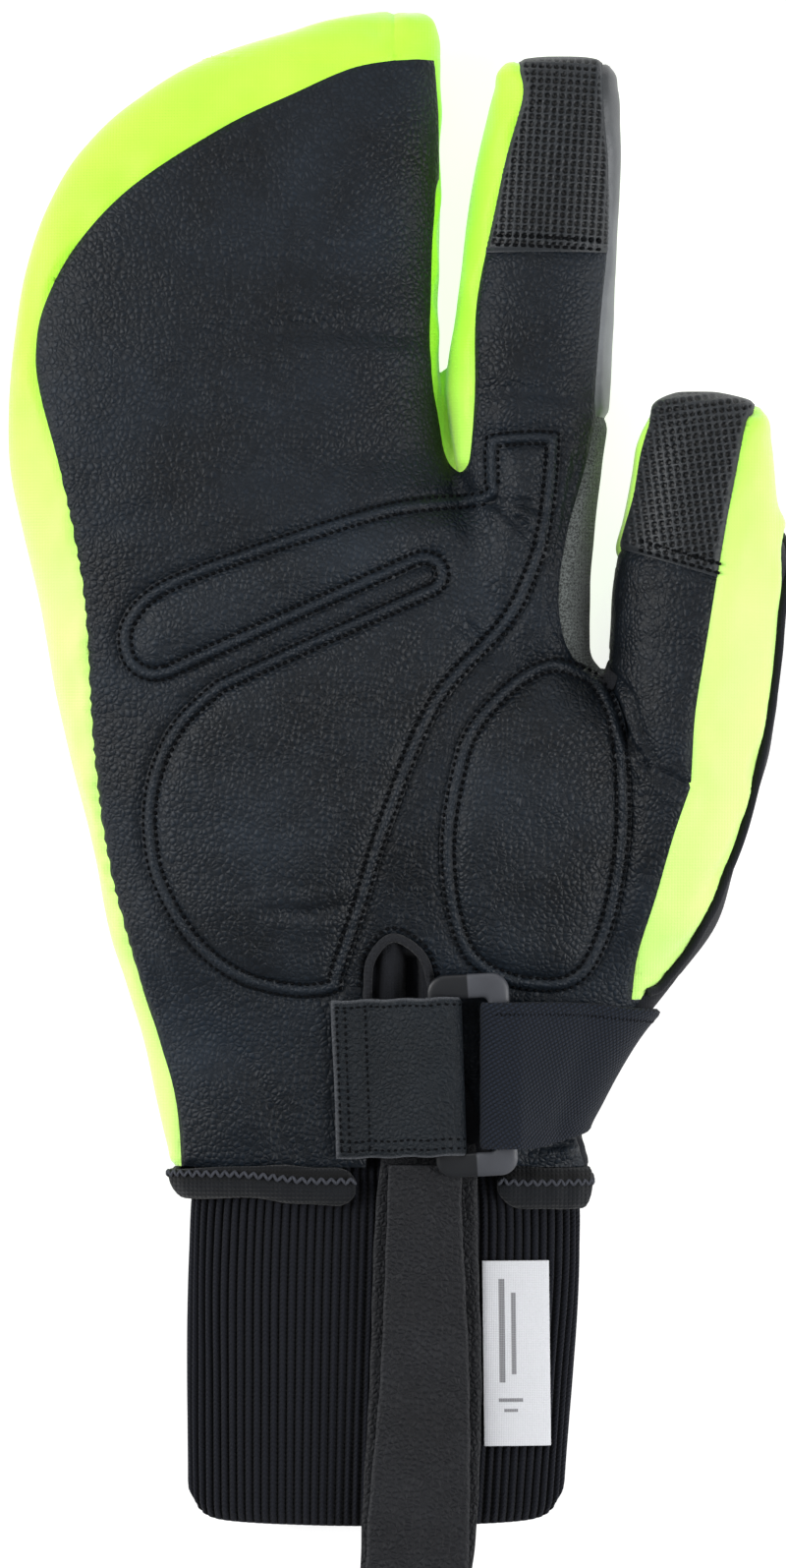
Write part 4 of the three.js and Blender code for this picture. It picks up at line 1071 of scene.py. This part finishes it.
def make_pull_loop(material):
    """The long leather pull: down, round its fold and back up on top of itself."""
    line, _ = resample(spline(LOOP, steps=12), LOOP_PITCH)
    x, y, z, wide = line.T[..., None]
    columns = 30
    across = np.linspace(-0.5, 0.5, columns)
    wave = 0.2 * np.sin(y * 0.11 + 1.1) + 0.06 * np.sin(y * 0.61)
    under = (np.arange(len(line)) < len(line) / 2)[:, None]
    cup = np.where(under, 0.25, -0.35) * 0.5 * (2 * across) ** 2
    z = z + cup + 0.12 * np.sin(y * 0.35 + 5 * across)
    centre = np.stack([x + across * wide + wave, y + 0 * across, z], axis=2)
    half = 0.6 * edge_round(columns, 1.6, 0.5)
    verts, faces, marks = ribbon(centre, half, (LOOP_PITCH, 1 / (columns - 1)))
    loop = make_piece("leather_loop", verts, faces, material, "strap_leather", ["pull_loop"], marks)


# Piping, patch stitches and the keyhole notch
def make_piping(material):
    """The thin piping along the seam behind the thumb's side panel."""
    y, angle = np.array(PIPING_BACK, float).T
    left, right, back, front = section(THUMB, y)
    reach, rise = squared_circle(np.radians(angle), 2 / THUMB["power"])
    x = (left + right) / 2 + (right - left) / 2 * reach
    z = (back + front) / 2 + (front - back) / 2 * rise
    path = spline(np.concatenate([on_front(PIPING_FRONT), np.stack([x, y, z], axis=1)]), steps=14)
    path = to_skin(path, 8)
    path = path + glove_normal(path) * 0.30
    verts, faces = tube(path, CORD, 12, glove_normal(path))
    make_piece("cord_piping", verts, faces, material, "black_softshell", ["piping"])


def make_patch_rows(thread):
    """Twin rows of heavy stitches along the lower edges of the two grip patches."""
    rows = []
    for seed, (start, end) in enumerate(PATCH_ROWS):
        rows.append(line_of_stitches(np.linspace(start, end, 6), 0.12, seed, pitch=1.5, length=1.15))
    make_threads("patch_stitches", join(rows), thread)


def make_notch(material, binding, thread):
    """The cloth behind the keyhole in the palm, and the binding round the keyhole's edge."""
    cells = 90
    flat = np.stack(np.meshgrid(np.linspace(-9.5, 21, cells), np.linspace(-24.0, -66.5, cells)), axis=2)
    ground = on_palm(flat.reshape(-1, 2), -2.8).reshape(cells, cells, 3)
    x, y = ground[..., 0], ground[..., 1]
    strip = 1.7 * np.exp(-(((x + 1.7) / 1.6) ** 4))
    slot = 3.0 * smooth(0.2, 1.2, x) * smooth(5.0, 4.0, x) * smooth(-28.2, -29.6, y)
    flap = 1.3 * smooth(4.3, 5.4, x + 0.25 * (y + 33))
    ground[..., 2] += strip - slot + flap + 0.12 * np.sin(x * 2.3 + y * 0.8)
    verts, faces, marks = ribbon(ground, 0.5)
    make_piece("notch_gusset", verts, faces, material, "black_softshell", ["wrist_gusset"], marks)
    run = spline(NOTCH[1:6], steps=10)
    path = on_palm(np.concatenate([NOTCH_STRAIGHT, run]), 0.1)
    make_piece("notch_binding", *tube(path, CORD, 10, UP), binding, "black_trim")
    away = run + 1.9 * unit(run - NOTCH_MIDDLE)
    make_threads("notch_stitches", line_of_stitches(away[::3], 0.12, 61), thread)


# Shader nodes
class Value:
    """An output of a shader node. Sums and products of it add Math nodes."""

    def __init__(self, shader, socket):
        self.shader = shader
        self.socket = socket

    def __add__(self, other):
        return self.shader.math("ADD", self, other)

    def __sub__(self, other):
        return self.shader.math("SUBTRACT", self, other)

    def __rsub__(self, other):
        return self.shader.math("SUBTRACT", other, self)

    def __mul__(self, other):
        return self.shader.math("MULTIPLY", self, other)


class Shader:
    """A material under construction. Its place is the point on the object in millimetres."""

    def __init__(self, name):
        self.material = bpy.data.materials.new(name)
        self.material.use_nodes = True
        self.tree = self.material.node_tree
        self.tree.nodes.clear()
        metres = self.node("ShaderNodeTexCoord", "Object")
        self.place = self.vector("MULTIPLY", metres, (1000, 1000, 1000))

    def node(self, kind, output, inputs=None, **settings):
        """One output of a new node. An input is a number, a colour or another node's output."""
        node = self.tree.nodes.new(kind)
        for key, value in settings.items():
            setattr(node, key, value)
        for key, value in (inputs or {}).items():
            if isinstance(value, Value):
                self.tree.links.new(value.socket, node.inputs[key])
            else:
                node.inputs[key].default_value = value
        return Value(self, node.outputs[output])

    def math(self, operation, *inputs, clamp=False):
        numbered = dict(enumerate(inputs))
        return self.node("ShaderNodeMath", 0, numbered, operation=operation, use_clamp=clamp)

    def vector(self, operation, first, second):
        return self.node("ShaderNodeVectorMath", 0, {0: first, 1: second}, operation=operation)

    def part(self, vector, axis):
        return self.node("ShaderNodeSeparateXYZ", axis, {"Vector": vector})

    def uv(self):
        """The piece's own map."""
        return self.node("ShaderNodeUVMap", "UV", uv_map="mm")

    def noise(self, scale, detail=3.0, rough=0.5):
        inputs = {"Vector": self.place, "Scale": scale, "Detail": detail, "Roughness": rough}
        return self.node("ShaderNodeTexNoise", "Fac", inputs)

    def cracks(self, vector, scale, steep):
        """0 on the lines between cells, rising to 1 inside them."""
        inputs = {"Vector": vector, "Scale": scale}
        edges = self.node("ShaderNodeTexVoronoi", "Distance", inputs, feature="DISTANCE_TO_EDGE")
        return self.math("MULTIPLY", edges, steep, clamp=True)

    def wave(self, value, steep):
        """The size of a sine, from 0 to 1."""
        return self.math("ABSOLUTE", self.math("SINE", value * steep))

    def weave(self, pitch, place=None):
        """Height of a fine plain weave, from 0 to 1."""
        x, y = [self.part(place or self.place, axis) * (math.pi / pitch) for axis in "XY"]
        return self.math("ABSOLUTE", self.math("SINE", x) * self.math("SINE", y))

    def hump(self, value, middle, half):
        """1 at a middle value, falling to 0 at half on either side of it."""
        off = self.math("ABSOLUTE", value - middle)
        return self.math("SUBTRACT", 1.0, self.math("DIVIDE", off, half), clamp=True)

    def between(self, value, low, high):
        """1 where the value lies between two limits, else 0."""
        return self.math("GREATER_THAN", value, low) * self.math("LESS_THAN", value, high)

    def rise(self, value, low, high, top):
        """0 at the low value, rising evenly to a top at the high one."""
        inputs = {"Value": value, "From Min": low, "From Max": high, "To Min": 0.0, "To Max": top}
        return self.node("ShaderNodeMapRange", "Result", inputs)

    def ramp(self, factor, *stops):
        """Colours or greys between stops of (factor, colour)."""
        node = self.tree.nodes.new("ShaderNodeValToRGB")
        self.tree.links.new(factor.socket, node.inputs["Fac"])
        elements = node.color_ramp.elements
        while len(elements) < len(stops):
            elements.new(0.5)
        for element, (position, colour) in zip(elements, stops):
            element.position = position
            element.color = (*np.broadcast_to(colour, 3), 1)
        return Value(self, node.outputs["Color"])

    def tint(self, tone, colour, *stops):
        """Shades of one colour between stops of (tone, brightness)."""
        return self.ramp(tone, *[(at, shade(colour, bright)) for at, bright in stops])

    def blend(self, share, base, colour):
        """The base colour with a share of another one."""
        inputs = {"Factor": share, "A": base, "B": (*colour, 1)}
        return self.node("ShaderNodeMix", "Result", inputs, data_type="RGBA")

    def finish(self, colour, rough, height, depth, settings):
        """The material. depth is the bump's in millimetres. settings go to the shader's own sockets."""
        bump = {"Height": height, "Distance": depth * MM, "Strength": 1.0}
        normal = self.node("ShaderNodeBump", "Normal", bump)
        inputs = {"Base Color": colour, "Roughness": rough, "Normal": normal, **settings}
        shader = self.node("ShaderNodeBsdfPrincipled", "BSDF", inputs)
        output = self.tree.nodes.new("ShaderNodeOutputMaterial")
        self.tree.links.new(shader.socket, output.inputs["Surface"])
        return self.material


def shade(colour, factor):
    return tuple(min(c * factor, 1.0) for c in colour)


def leather(name, colour, depth, roughness, sewn=False):
    """Pebbled synthetic leather: rounded grains with dark valleys between them.

    sewn paints shade on the two stitched rows inside a pad's edge and a highlight on the ridge between,
    where the uv is the distance from the edge."""
    s = Shader(name)
    warp = s.node("ShaderNodeTexNoise", "Color", {"Vector": s.place, "Scale": 0.35, "Detail": 2.0})
    bent = s.vector("ADD", s.place, s.vector("MULTIPLY", warp, (1.1, 1.1, 1.1)))
    grains = {"Vector": bent, "Scale": 1 / GRAIN, "Smoothness": 0.35}
    cells = s.node("ShaderNodeTexVoronoi", "Distance", grains, feature="SMOOTH_F1")
    valley = s.cracks(bent, 1 / GRAIN, 3.2)
    fine = s.noise(4.5, 3.0, 0.6)
    broad = s.noise(0.035, 4.0, 0.6)
    height = (1.0 - cells) + valley * 0.55 + fine * 0.35
    colours = s.tint(valley * 0.16 + broad * 0.84, colour, (0.32, 0.35), (0.54, 1), (0.74, 1.9))
    rough = s.ramp(valley * -0.3 + broad, (0.0, roughness - 0.08), (1.0, roughness + 0.22))
    if sewn:
        inset = s.part(s.uv(), "X")
        rows = s.math("MAXIMUM", s.hump(inset, SEW_INSET, 0.65), s.hump(inset, SEW_INNER, 0.7))
        ridge = s.hump(inset, (SEW_INSET + SEW_INNER) / 2, 0.8)
        # painted shade on the rows of stitching, and a painted highlight on the ridge between them
        colours = s.blend(rows * 0.3, colours, shade(colour, 0.25))
        colours = s.blend(ridge * 0.35, colours, shade(colour, 2.0))
    return s.finish(colours, rough, height, depth, {"Specular IOR Level": 0.20})


def hi_vis_cloth(name, colour, pale):
    """Bright softshell with a fine weave, and a painted highlight that makes it paler toward the wrist."""
    s = Shader(name)
    threads = s.weave(0.55)
    fine = s.noise(2.2, 4.0, 0.6)
    broad = s.noise(0.06, 3.0, 0.5)
    light = (colour[0] * 1.16, 1.0, colour[2] * 1.7)
    tone = threads * 0.12 + broad
    colours = s.ramp(tone, (0.25, shade(colour, 0.90)), (0.55, colour), (0.9, light))
    # painted highlight: the cloth is blended toward the pale colour from the middle of the glove down to the
    # wrist
    painted_highlight_share = s.rise(s.part(s.place, "Y"), 85.0, 35.0, 0.36)
    settings = {"Specular IOR Level": 0.5, "Sheen Weight": 0.5, "Sheen Roughness": 0.45}
    return s.finish(s.blend(painted_highlight_share, colours, pale), 0.58, threads * 0.7 + fine, 0.06, settings)


def plain_cloth(name, colour, pitch=0.5, depth=0.06, roughness=0.85, flecks=0.0, band=None):
    """Dark cloth with a fine weave. flecks mixes in lighter fibres.

    band is the middle and the half width of a band of painted shade across the uv."""
    s = Shader(name)
    fine = s.noise(1.8, 5.0, 0.7)
    light = (s.noise(2.6, 2.0, 0.8) - 0.45) * (flecks * 5)
    colours = s.tint(fine * 0.9 + light, colour, (0.2, 0.55), (0.5, 1), (0.95, 2.1))
    if band:
        # painted shade: a dark band across the uv
        colours = s.blend(s.hump(s.part(s.uv(), "Y"), *band), colours, shade(colour, 0.1))
    settings = {"Specular IOR Level": 0.2, "Sheen Weight": 0.08}
    return s.finish(colours, roughness, s.weave(pitch) + fine, depth, settings)


def grip_cloth(name, colour):
    """Rubberised cloth: lighter tops between the moulded holes, whose share is the uv; painted shade darkens
    the holes.
    """
    s = Shader(name)
    fine = s.noise(3.5, 4.0, 0.6)
    tone = fine * 0.4 + s.noise(0.12, 3.0, 0.6) * 0.6
    colours = s.tint(tone, colour, (0.25, 0.6), (0.55, 1), (0.85, 1.9))
    # painted shade in the moulded holes
    colours = s.blend(s.part(s.uv(), "X") * 0.9, colours, shade(colour, 0.08))
    rough = s.ramp(fine, (0.2, 0.42), (0.8, 0.62))
    return s.finish(colours, rough, fine, 0.06, {"Specular IOR Level": 0.36})


def reflective_cloth(name, colour):
    """Silver-grey reflective cloth with a faint bead texture. It is darker toward the tip."""
    s = Shader(name)
    beads = s.node("ShaderNodeTexVoronoi", "Distance", {"Vector": s.place, "Scale": 3.0})
    tone = beads * 0.3 + s.noise(0.2, 3.0, 0.6)
    colours = s.tint(tone, colour, (0.3, 0.8), (0.6, 1), (0.9, 1.25))
    shadow = s.rise(s.part(s.place, "Y"), 85.0, 140.0, 0.85)
    colours = s.blend(shadow, colours, shade(colour, 0.25))
    return s.finish(colours, 0.45, beads, 0.03, {"Specular IOR Level": 0.6, "Metallic": 0.15})


def rib_cloth(name, colour):
    """Rib knit: small slanted loops along each rib, with painted shade in the valleys and a painted
    highlight on the rib tops. The uv counts the ribs.
    """
    s = Shader(name)
    across = s.math("FRACT", s.part(s.uv(), "X"))
    side = s.math("ABSOLUTE", across - 0.5)
    loops = s.wave(s.part(s.place, "Y") + side * 1.5, 3.6)
    fuzz = s.noise(3.0, 4.0, 0.7)
    # painted shade in the valleys between the ribs and a painted highlight on their tops
    painted_rib_light = s.math("SINE", across * math.pi)
    tone = painted_rib_light * 0.6 + fuzz * 0.35 + loops * 0.12
    colours = s.tint(tone, colour, (0.15, 0.25), (0.6, 1), (0.95, 1.9))
    settings = {"Specular IOR Level": 0.14, "Sheen Weight": 0.05}
    return s.finish(colours, 0.9, loops + fuzz * 0.6, 0.12, settings)


def webbing_cloth(name, colour):
    """Elastic webbing: a fine diagonal twill, broken by a steeper one."""
    s = Shader(name)
    uv = s.uv()
    along, across = s.part(uv, "X"), s.part(uv, "Y")
    twill = s.wave(along * 0.8 + across, 3.3)
    broken = s.wave(along - across * 0.5, 4.4)
    height = twill * (broken + 0.35)
    tone = height * 0.55 + s.noise(2.5, 3.0, 0.6) * 0.4
    colours = s.tint(tone, colour, (0.1, 0.4), (0.5, 1), (0.95, 2.4))
    return s.finish(colours, 0.8, height, 0.2, {"Specular IOR Level": 0.18, "Sheen Weight": 0.04})


def strip_leather(name, colour, edge_colour, full, edge, end=0.0):
    """Leather strap with lighter raw edges.

    full is its width in the units of the uv, edge the width of the raw edges, and end that of the
    raw end in millimetres."""
    s = Shader(name)
    uv = s.uv()
    off_middle = s.math("ABSOLUTE", s.part(uv, "Y") - full / 2)
    raw = s.math("DIVIDE", off_middle - (full / 2 - edge), edge, clamp=True)
    if end:
        past_end = s.math("DIVIDE", s.part(uv, "X"), end)
        raw = s.math("MAXIMUM", raw, s.math("SUBTRACT", 1.0, past_end, clamp=True))
    valley = s.cracks(s.place, 0.95, 2.6)
    fine = s.noise(2.6, 4.0, 0.65)
    tone = valley * 0.3 + s.noise(0.09, 3.0, 0.6) * 0.7
    base = s.tint(tone, colour, (0.2, 0.6), (0.55, 1), (0.9, 1.5))
    colours = s.blend(raw * (fine + 0.25), base, edge_colour)
    return s.finish(colours, 0.55, valley + fine, 0.18, {"Specular IOR Level": 0.18})


def moulded_plastic(name, colour, dark):
    """Matte moulded plastic: grey on the half of the ring away from the tab, and painted shade that makes
    the half by the tab near black.
    """
    s = Shader(name)
    fine = s.noise(4.0, 4.0, 0.6)
    grey = s.tint(s.noise(0.15, 2.0, 0.5), colour, (0.3, 0.85), (0.7, 1.15))
    # painted shade on the half of the ring toward the tab
    painted_shade_half = s.math("MULTIPLY", 0.1 - s.part(s.uv(), "X"), 4.0, clamp=True)
    rough = s.ramp(fine, (0.3, 0.40), (0.7, 0.52))
    return s.finish(s.blend(painted_shade_half, grey, dark), rough, fine, 0.02, {"Specular IOR Level": 0.35})


# Plain grey bars on the label, in place of print: left, right, top, bottom
LABEL_BARS = [(3.0, 4.1, 3.4, 23.0), (5.3, 6.2, 6.0, 21.5), (2.8, 7.4, 26.0, 26.7), (3.8, 6.4, 28.0, 28.6)]


def label_cloth(name, colour, ink):
    """Woven satin label with plain bars."""
    s = Shader(name)
    uv = s.uv()
    x, y = s.part(uv, "X"), s.part(uv, "Y")
    bars = [s.between(x, x0, x1) * s.between(y, y0, y1) for x0, x1, y0, y1 in LABEL_BARS]
    inked = bars[0]
    for bar in bars[1:]:
        inked = s.math("MAXIMUM", inked, bar)
    threads = s.weave(0.32, uv)
    base = s.tint(threads * 0.4 + s.noise(3.0, 3.0, 0.6), colour, (0.3, 0.86), (0.9, 1))
    share = s.math("MULTIPLY", inked, threads + 0.55, clamp=True)
    settings = {"Specular IOR Level": 0.3, "Sheen Weight": 0.1}
    return s.finish(s.blend(share, base, ink), 0.55, threads, 0.05, settings)


def thread_finish(name, colour):
    """Twisted sewing thread."""
    s = Shader(name)
    twist = s.node("ShaderNodeTexWave", "Fac", {"Vector": s.place, "Scale": 2.2, "Distortion": 1.5})
    colours = s.tint(twist, colour, (0.2, 0.6), (0.9, 1.5))
    return s.finish(colours, 0.75, twist, 0.03, {"Specular IOR Level": 0.08})


def floor_finish(name, colour):
    """Matte pale studio floor with a barely visible mottle, lit from below like a light table."""
    s = Shader(name)
    colours = s.tint(s.noise(0.01, 3.0, 0.5), colour, (0.2, 0.99), (0.8, 1))
    settings = {"Specular IOR Level": 0.05, "Emission Color": (1, 1, 1, 1), "Emission Strength": 0.80}
    return s.finish(colours, 0.9, s.noise(0.8, 2.0, 0.5), 0.01, settings)


# The stage
def make_floor():
    """A flat pale floor that reaches past the camera's view."""
    cells = 9
    line = np.linspace(-1600.0, 1600.0, cells)
    x, y = np.meshgrid(line, line, indexing="ij")
    verts = np.stack([x.ravel(), y.ravel(), np.full(x.size, -0.05)], axis=1)
    mesh = bpy.data.meshes.new("floor")
    mesh.from_pydata((verts * MM).tolist(), [], grid_quads(cells, cells).tolist())
    mesh.materials.append(floor_finish("floor", (0.42, 0.42, 0.42)))
    floor = bpy.data.objects.new("floor", mesh)
    bpy.context.scene.collection.objects.link(floor)


def make_light(name, place, aim, size, power):
    """A rectangular lamp at a place in metres, turned to its aim."""
    light = bpy.data.lights.new(name, "AREA")
    light.shape = "RECTANGLE"
    light.size, light.size_y = size
    light.energy = power
    lamp = bpy.data.objects.new(name, light)
    lamp.location = place
    lamp.rotation_euler = (Vector(aim) - Vector(place)).to_track_quat("-Z", "Y").to_euler()
    bpy.context.scene.collection.objects.link(lamp)


def make_lights():
    """Large soft lamps on both sides, a weak one past the fingers, and a dim white surrounding."""
    world = bpy.data.worlds.new("studio")
    world.use_nodes = True
    background = world.node_tree.nodes["Background"]
    background.inputs["Color"].default_value = (1, 1, 1, 1)
    background.inputs["Strength"].default_value = 0.24
    bpy.context.scene.world = world
    make_light("left_softbox", (-1.25, 0.25, 0.80), (-0.02, 0, 0.01), (0.7, 1.4), 29)
    make_light("right_softbox", (1.25, -0.30, 0.76), (0.02, 0, 0.01), (0.7, 1.3), 25)
    make_light("top_softbox", (0.1, 1.35, 1.15), (0, 0.02, 0), (1.2, 0.7), 8)


def make_camera():
    """Straight above the palm. The frame is 148 by 295 mm at the height of the palm's middle."""
    middle = (-0.9, 2.7)
    far, level, tall = 2200.0, 20.0, 295.1
    camera_data = bpy.data.cameras.new("camera")
    camera_data.sensor_width = 36
    camera_data.lens = 36 * (far - level) / tall
    camera_data.clip_end = 20
    camera = bpy.data.objects.new("camera", camera_data)
    camera.location = (middle[0] * MM, middle[1] * MM, far * MM)
    bpy.context.scene.collection.objects.link(camera)
    bpy.context.scene.camera = camera


# Assembly
PANEL_FINISH = {
    "index_side_strip": ("reflective", "reflective"),
    "crotch_gusset": ("melange", "melange"),
    "finger_gusset": ("hi_vis", "hi_vis"),
    "index_tip_patch": ("grip", "grip_patch"),
    "thumb_front": ("palm", "palm_leather"),
    "thumb_tip_patch": ("grip", "grip_patch"),
    "back_thumb_panel": ("softshell", "black_softshell"),
    "thumb_side_panel": ("hi_vis", "hi_vis"),
    "palm_panel": ("palm", "palm_leather"),
    "back_shell": ("hi_vis", "hi_vis"),
}
# Where the grid of each patch's holes is centred in x, and the angle that it is turned by
GRIP_GRIDS = {"index_tip_patch": (30, 0.06), "thumb_tip_patch": (56, -0.13)}


def make_finishes():
    """All the materials, by the short names that main uses."""
    return {
        # the hi-vis cloth's second colour is its painted highlight toward the wrist
        "hi_vis": hi_vis_cloth("hi_vis_softshell", (0.42, 0.95, 0.026), (0.82, 0.96, 0.48)),
        "palm": leather("palm_leather", (0.0045, 0.0076, 0.0120), 0.15, 0.46),
        "pad": leather("pad_leather", (0.0062, 0.0094, 0.0138), 0.16, 0.44, sewn=True),
        "grip": grip_cloth("grip_cloth", (0.0150, 0.0180, 0.0215)),
        "reflective": reflective_cloth("reflective_cloth", (0.098, 0.107, 0.116)),
        "melange": plain_cloth("melange_cloth", (0.055, 0.061, 0.059), 0.7, 0.14, 0.9, flecks=1.0),
        "softshell": plain_cloth("black_softshell", (0.006, 0.007, 0.010)),
        # the trim's band is painted shade on the hem's roll next to the overlock stitches
        "trim": plain_cloth("black_trim", (0.0036, 0.0048, 0.0070), 0.8, 0.14, band=(2.4, 1.9)),
        "binding": plain_cloth("notch_binding", (0.009, 0.010, 0.013), 0.8, 0.12),
        "knit": rib_cloth("rib_knit", (0.0046, 0.0052, 0.0078)),
        "webbing": webbing_cloth("elastic_webbing", (0.0042, 0.0064, 0.0115)),
        "tab": strip_leather("tab_leather", (0.0066, 0.0096, 0.0132), (0.085, 0.09, 0.10), 29.8, 0.6, 0.9),
        "loop": strip_leather("loop_leather", (0.0085, 0.0092, 0.0115), (0.03, 0.031, 0.034), 1.0, 0.04),
        # the plastic's second colour is the painted shade on the half of the ring by the tab
        "plastic": moulded_plastic("buckle_plastic", (0.050, 0.053, 0.062), (0.007, 0.008, 0.010)),
        "label": label_cloth("label_satin", (0.57, 0.58, 0.61), (0.13, 0.13, 0.14)),
        "thread": thread_finish("black_thread", (0.0012, 0.0015, 0.0022)),
        "overlock": thread_finish("overlock_thread", (0.045, 0.048, 0.058)),
    }


def grip_holes(points, axis_x, turn):
    """Share of a moulded hole at each point, from 0 to 1: round holes at an even pitch."""
    c, s = math.cos(turn), math.sin(turn)
    x = (points[:, 0] - axis_x) * c - points[:, 1] * s
    y = (points[:, 0] - axis_x) * s + points[:, 1] * c
    return smooth(0.30, 0.72, np.abs(np.cos(math.pi * x / GRIP_PITCH) * np.cos(math.pi * y / GRIP_PITCH)))


def make_panels(finishes):
    """Each panel of the skin as a closed soft wall, with its gathers, folds or moulded holes."""
    skin, panels = cut_panels(*make_skin())
    seams = skin[np.unique(np.concatenate([open_edges(panel) for panel in panels.values()]))]
    for name, panel in panels.items():
        finish, slot = PANEL_FINISH[name]
        points, uv = skin, None
        if slot == "grip_patch":
            points, panel = quarter(*quarter(points, panel))
        used, panel = compact(panel)
        points = points[used]
        normals = glove_normal(points)
        gap = distance_to(points, seams)
        offset = seam_groove(gap)
        if slot == "grip_patch":
            shown = smooth(0.12, 0.5, normals[:, 2]) * smooth(0.8, 1.6, gap)
            hole = grip_holes(points, *GRIP_GRIDS[name]) * shown
            offset += 0.1 - 0.6 * hole
            # the hole share in the uv also sets the painted shade in the holes
            uv = np.tile(np.stack([hole, 0 * hole], axis=1), (2, 1))
        elif slot == "hi_vis":
            offset += pucker(points, gap)
        else:
            offset += palm_relief(points) * smooth(0, 2.5, gap)
        if name == "palm_panel":
            offset += pad_bed(*points[:, :2].T)
        if name != "back_shell":
            offset = np.minimum(offset, points[:, 2] / 2 + 5)
        outer, inner = points + normals * offset[:, None], points - normals * WALL
        verts, faces = closed_wall(outer, inner, panel)
        verts[:, 2] = np.maximum(verts[:, 2], 0.0)
        corners = None if uv is None else uv[faces]
        make_piece(name + "_cloth", verts, faces, finishes[finish], slot, [name], corners)


def main():
    """Builds the mitten, its stage and the camera."""
    finishes = make_finishes()
    thread = finishes["thread"]
    make_panels(finishes)
    make_pad("palm_overlay", OVERLAY, 1.35, finishes["pad"], thread)
    make_pad("thenar_pad", THENAR, 1.55, finishes["pad"], thread)
    make_cuff(finishes["knit"])
    make_hem(finishes["trim"], finishes["overlock"])
    make_label(finishes["label"])
    make_notch(finishes["softshell"], finishes["binding"], thread)
    make_webbing(finishes["webbing"], thread)
    make_buckle(finishes["plastic"])
    make_tab(finishes["tab"], thread)
    make_pull_loop(finishes["loop"])
    make_piping(finishes["softshell"])
    make_patch_rows(thread)
    make_floor()
    make_lights()
    make_camera()
    bpy.context.scene.view_settings.view_transform = "Standard"


main()
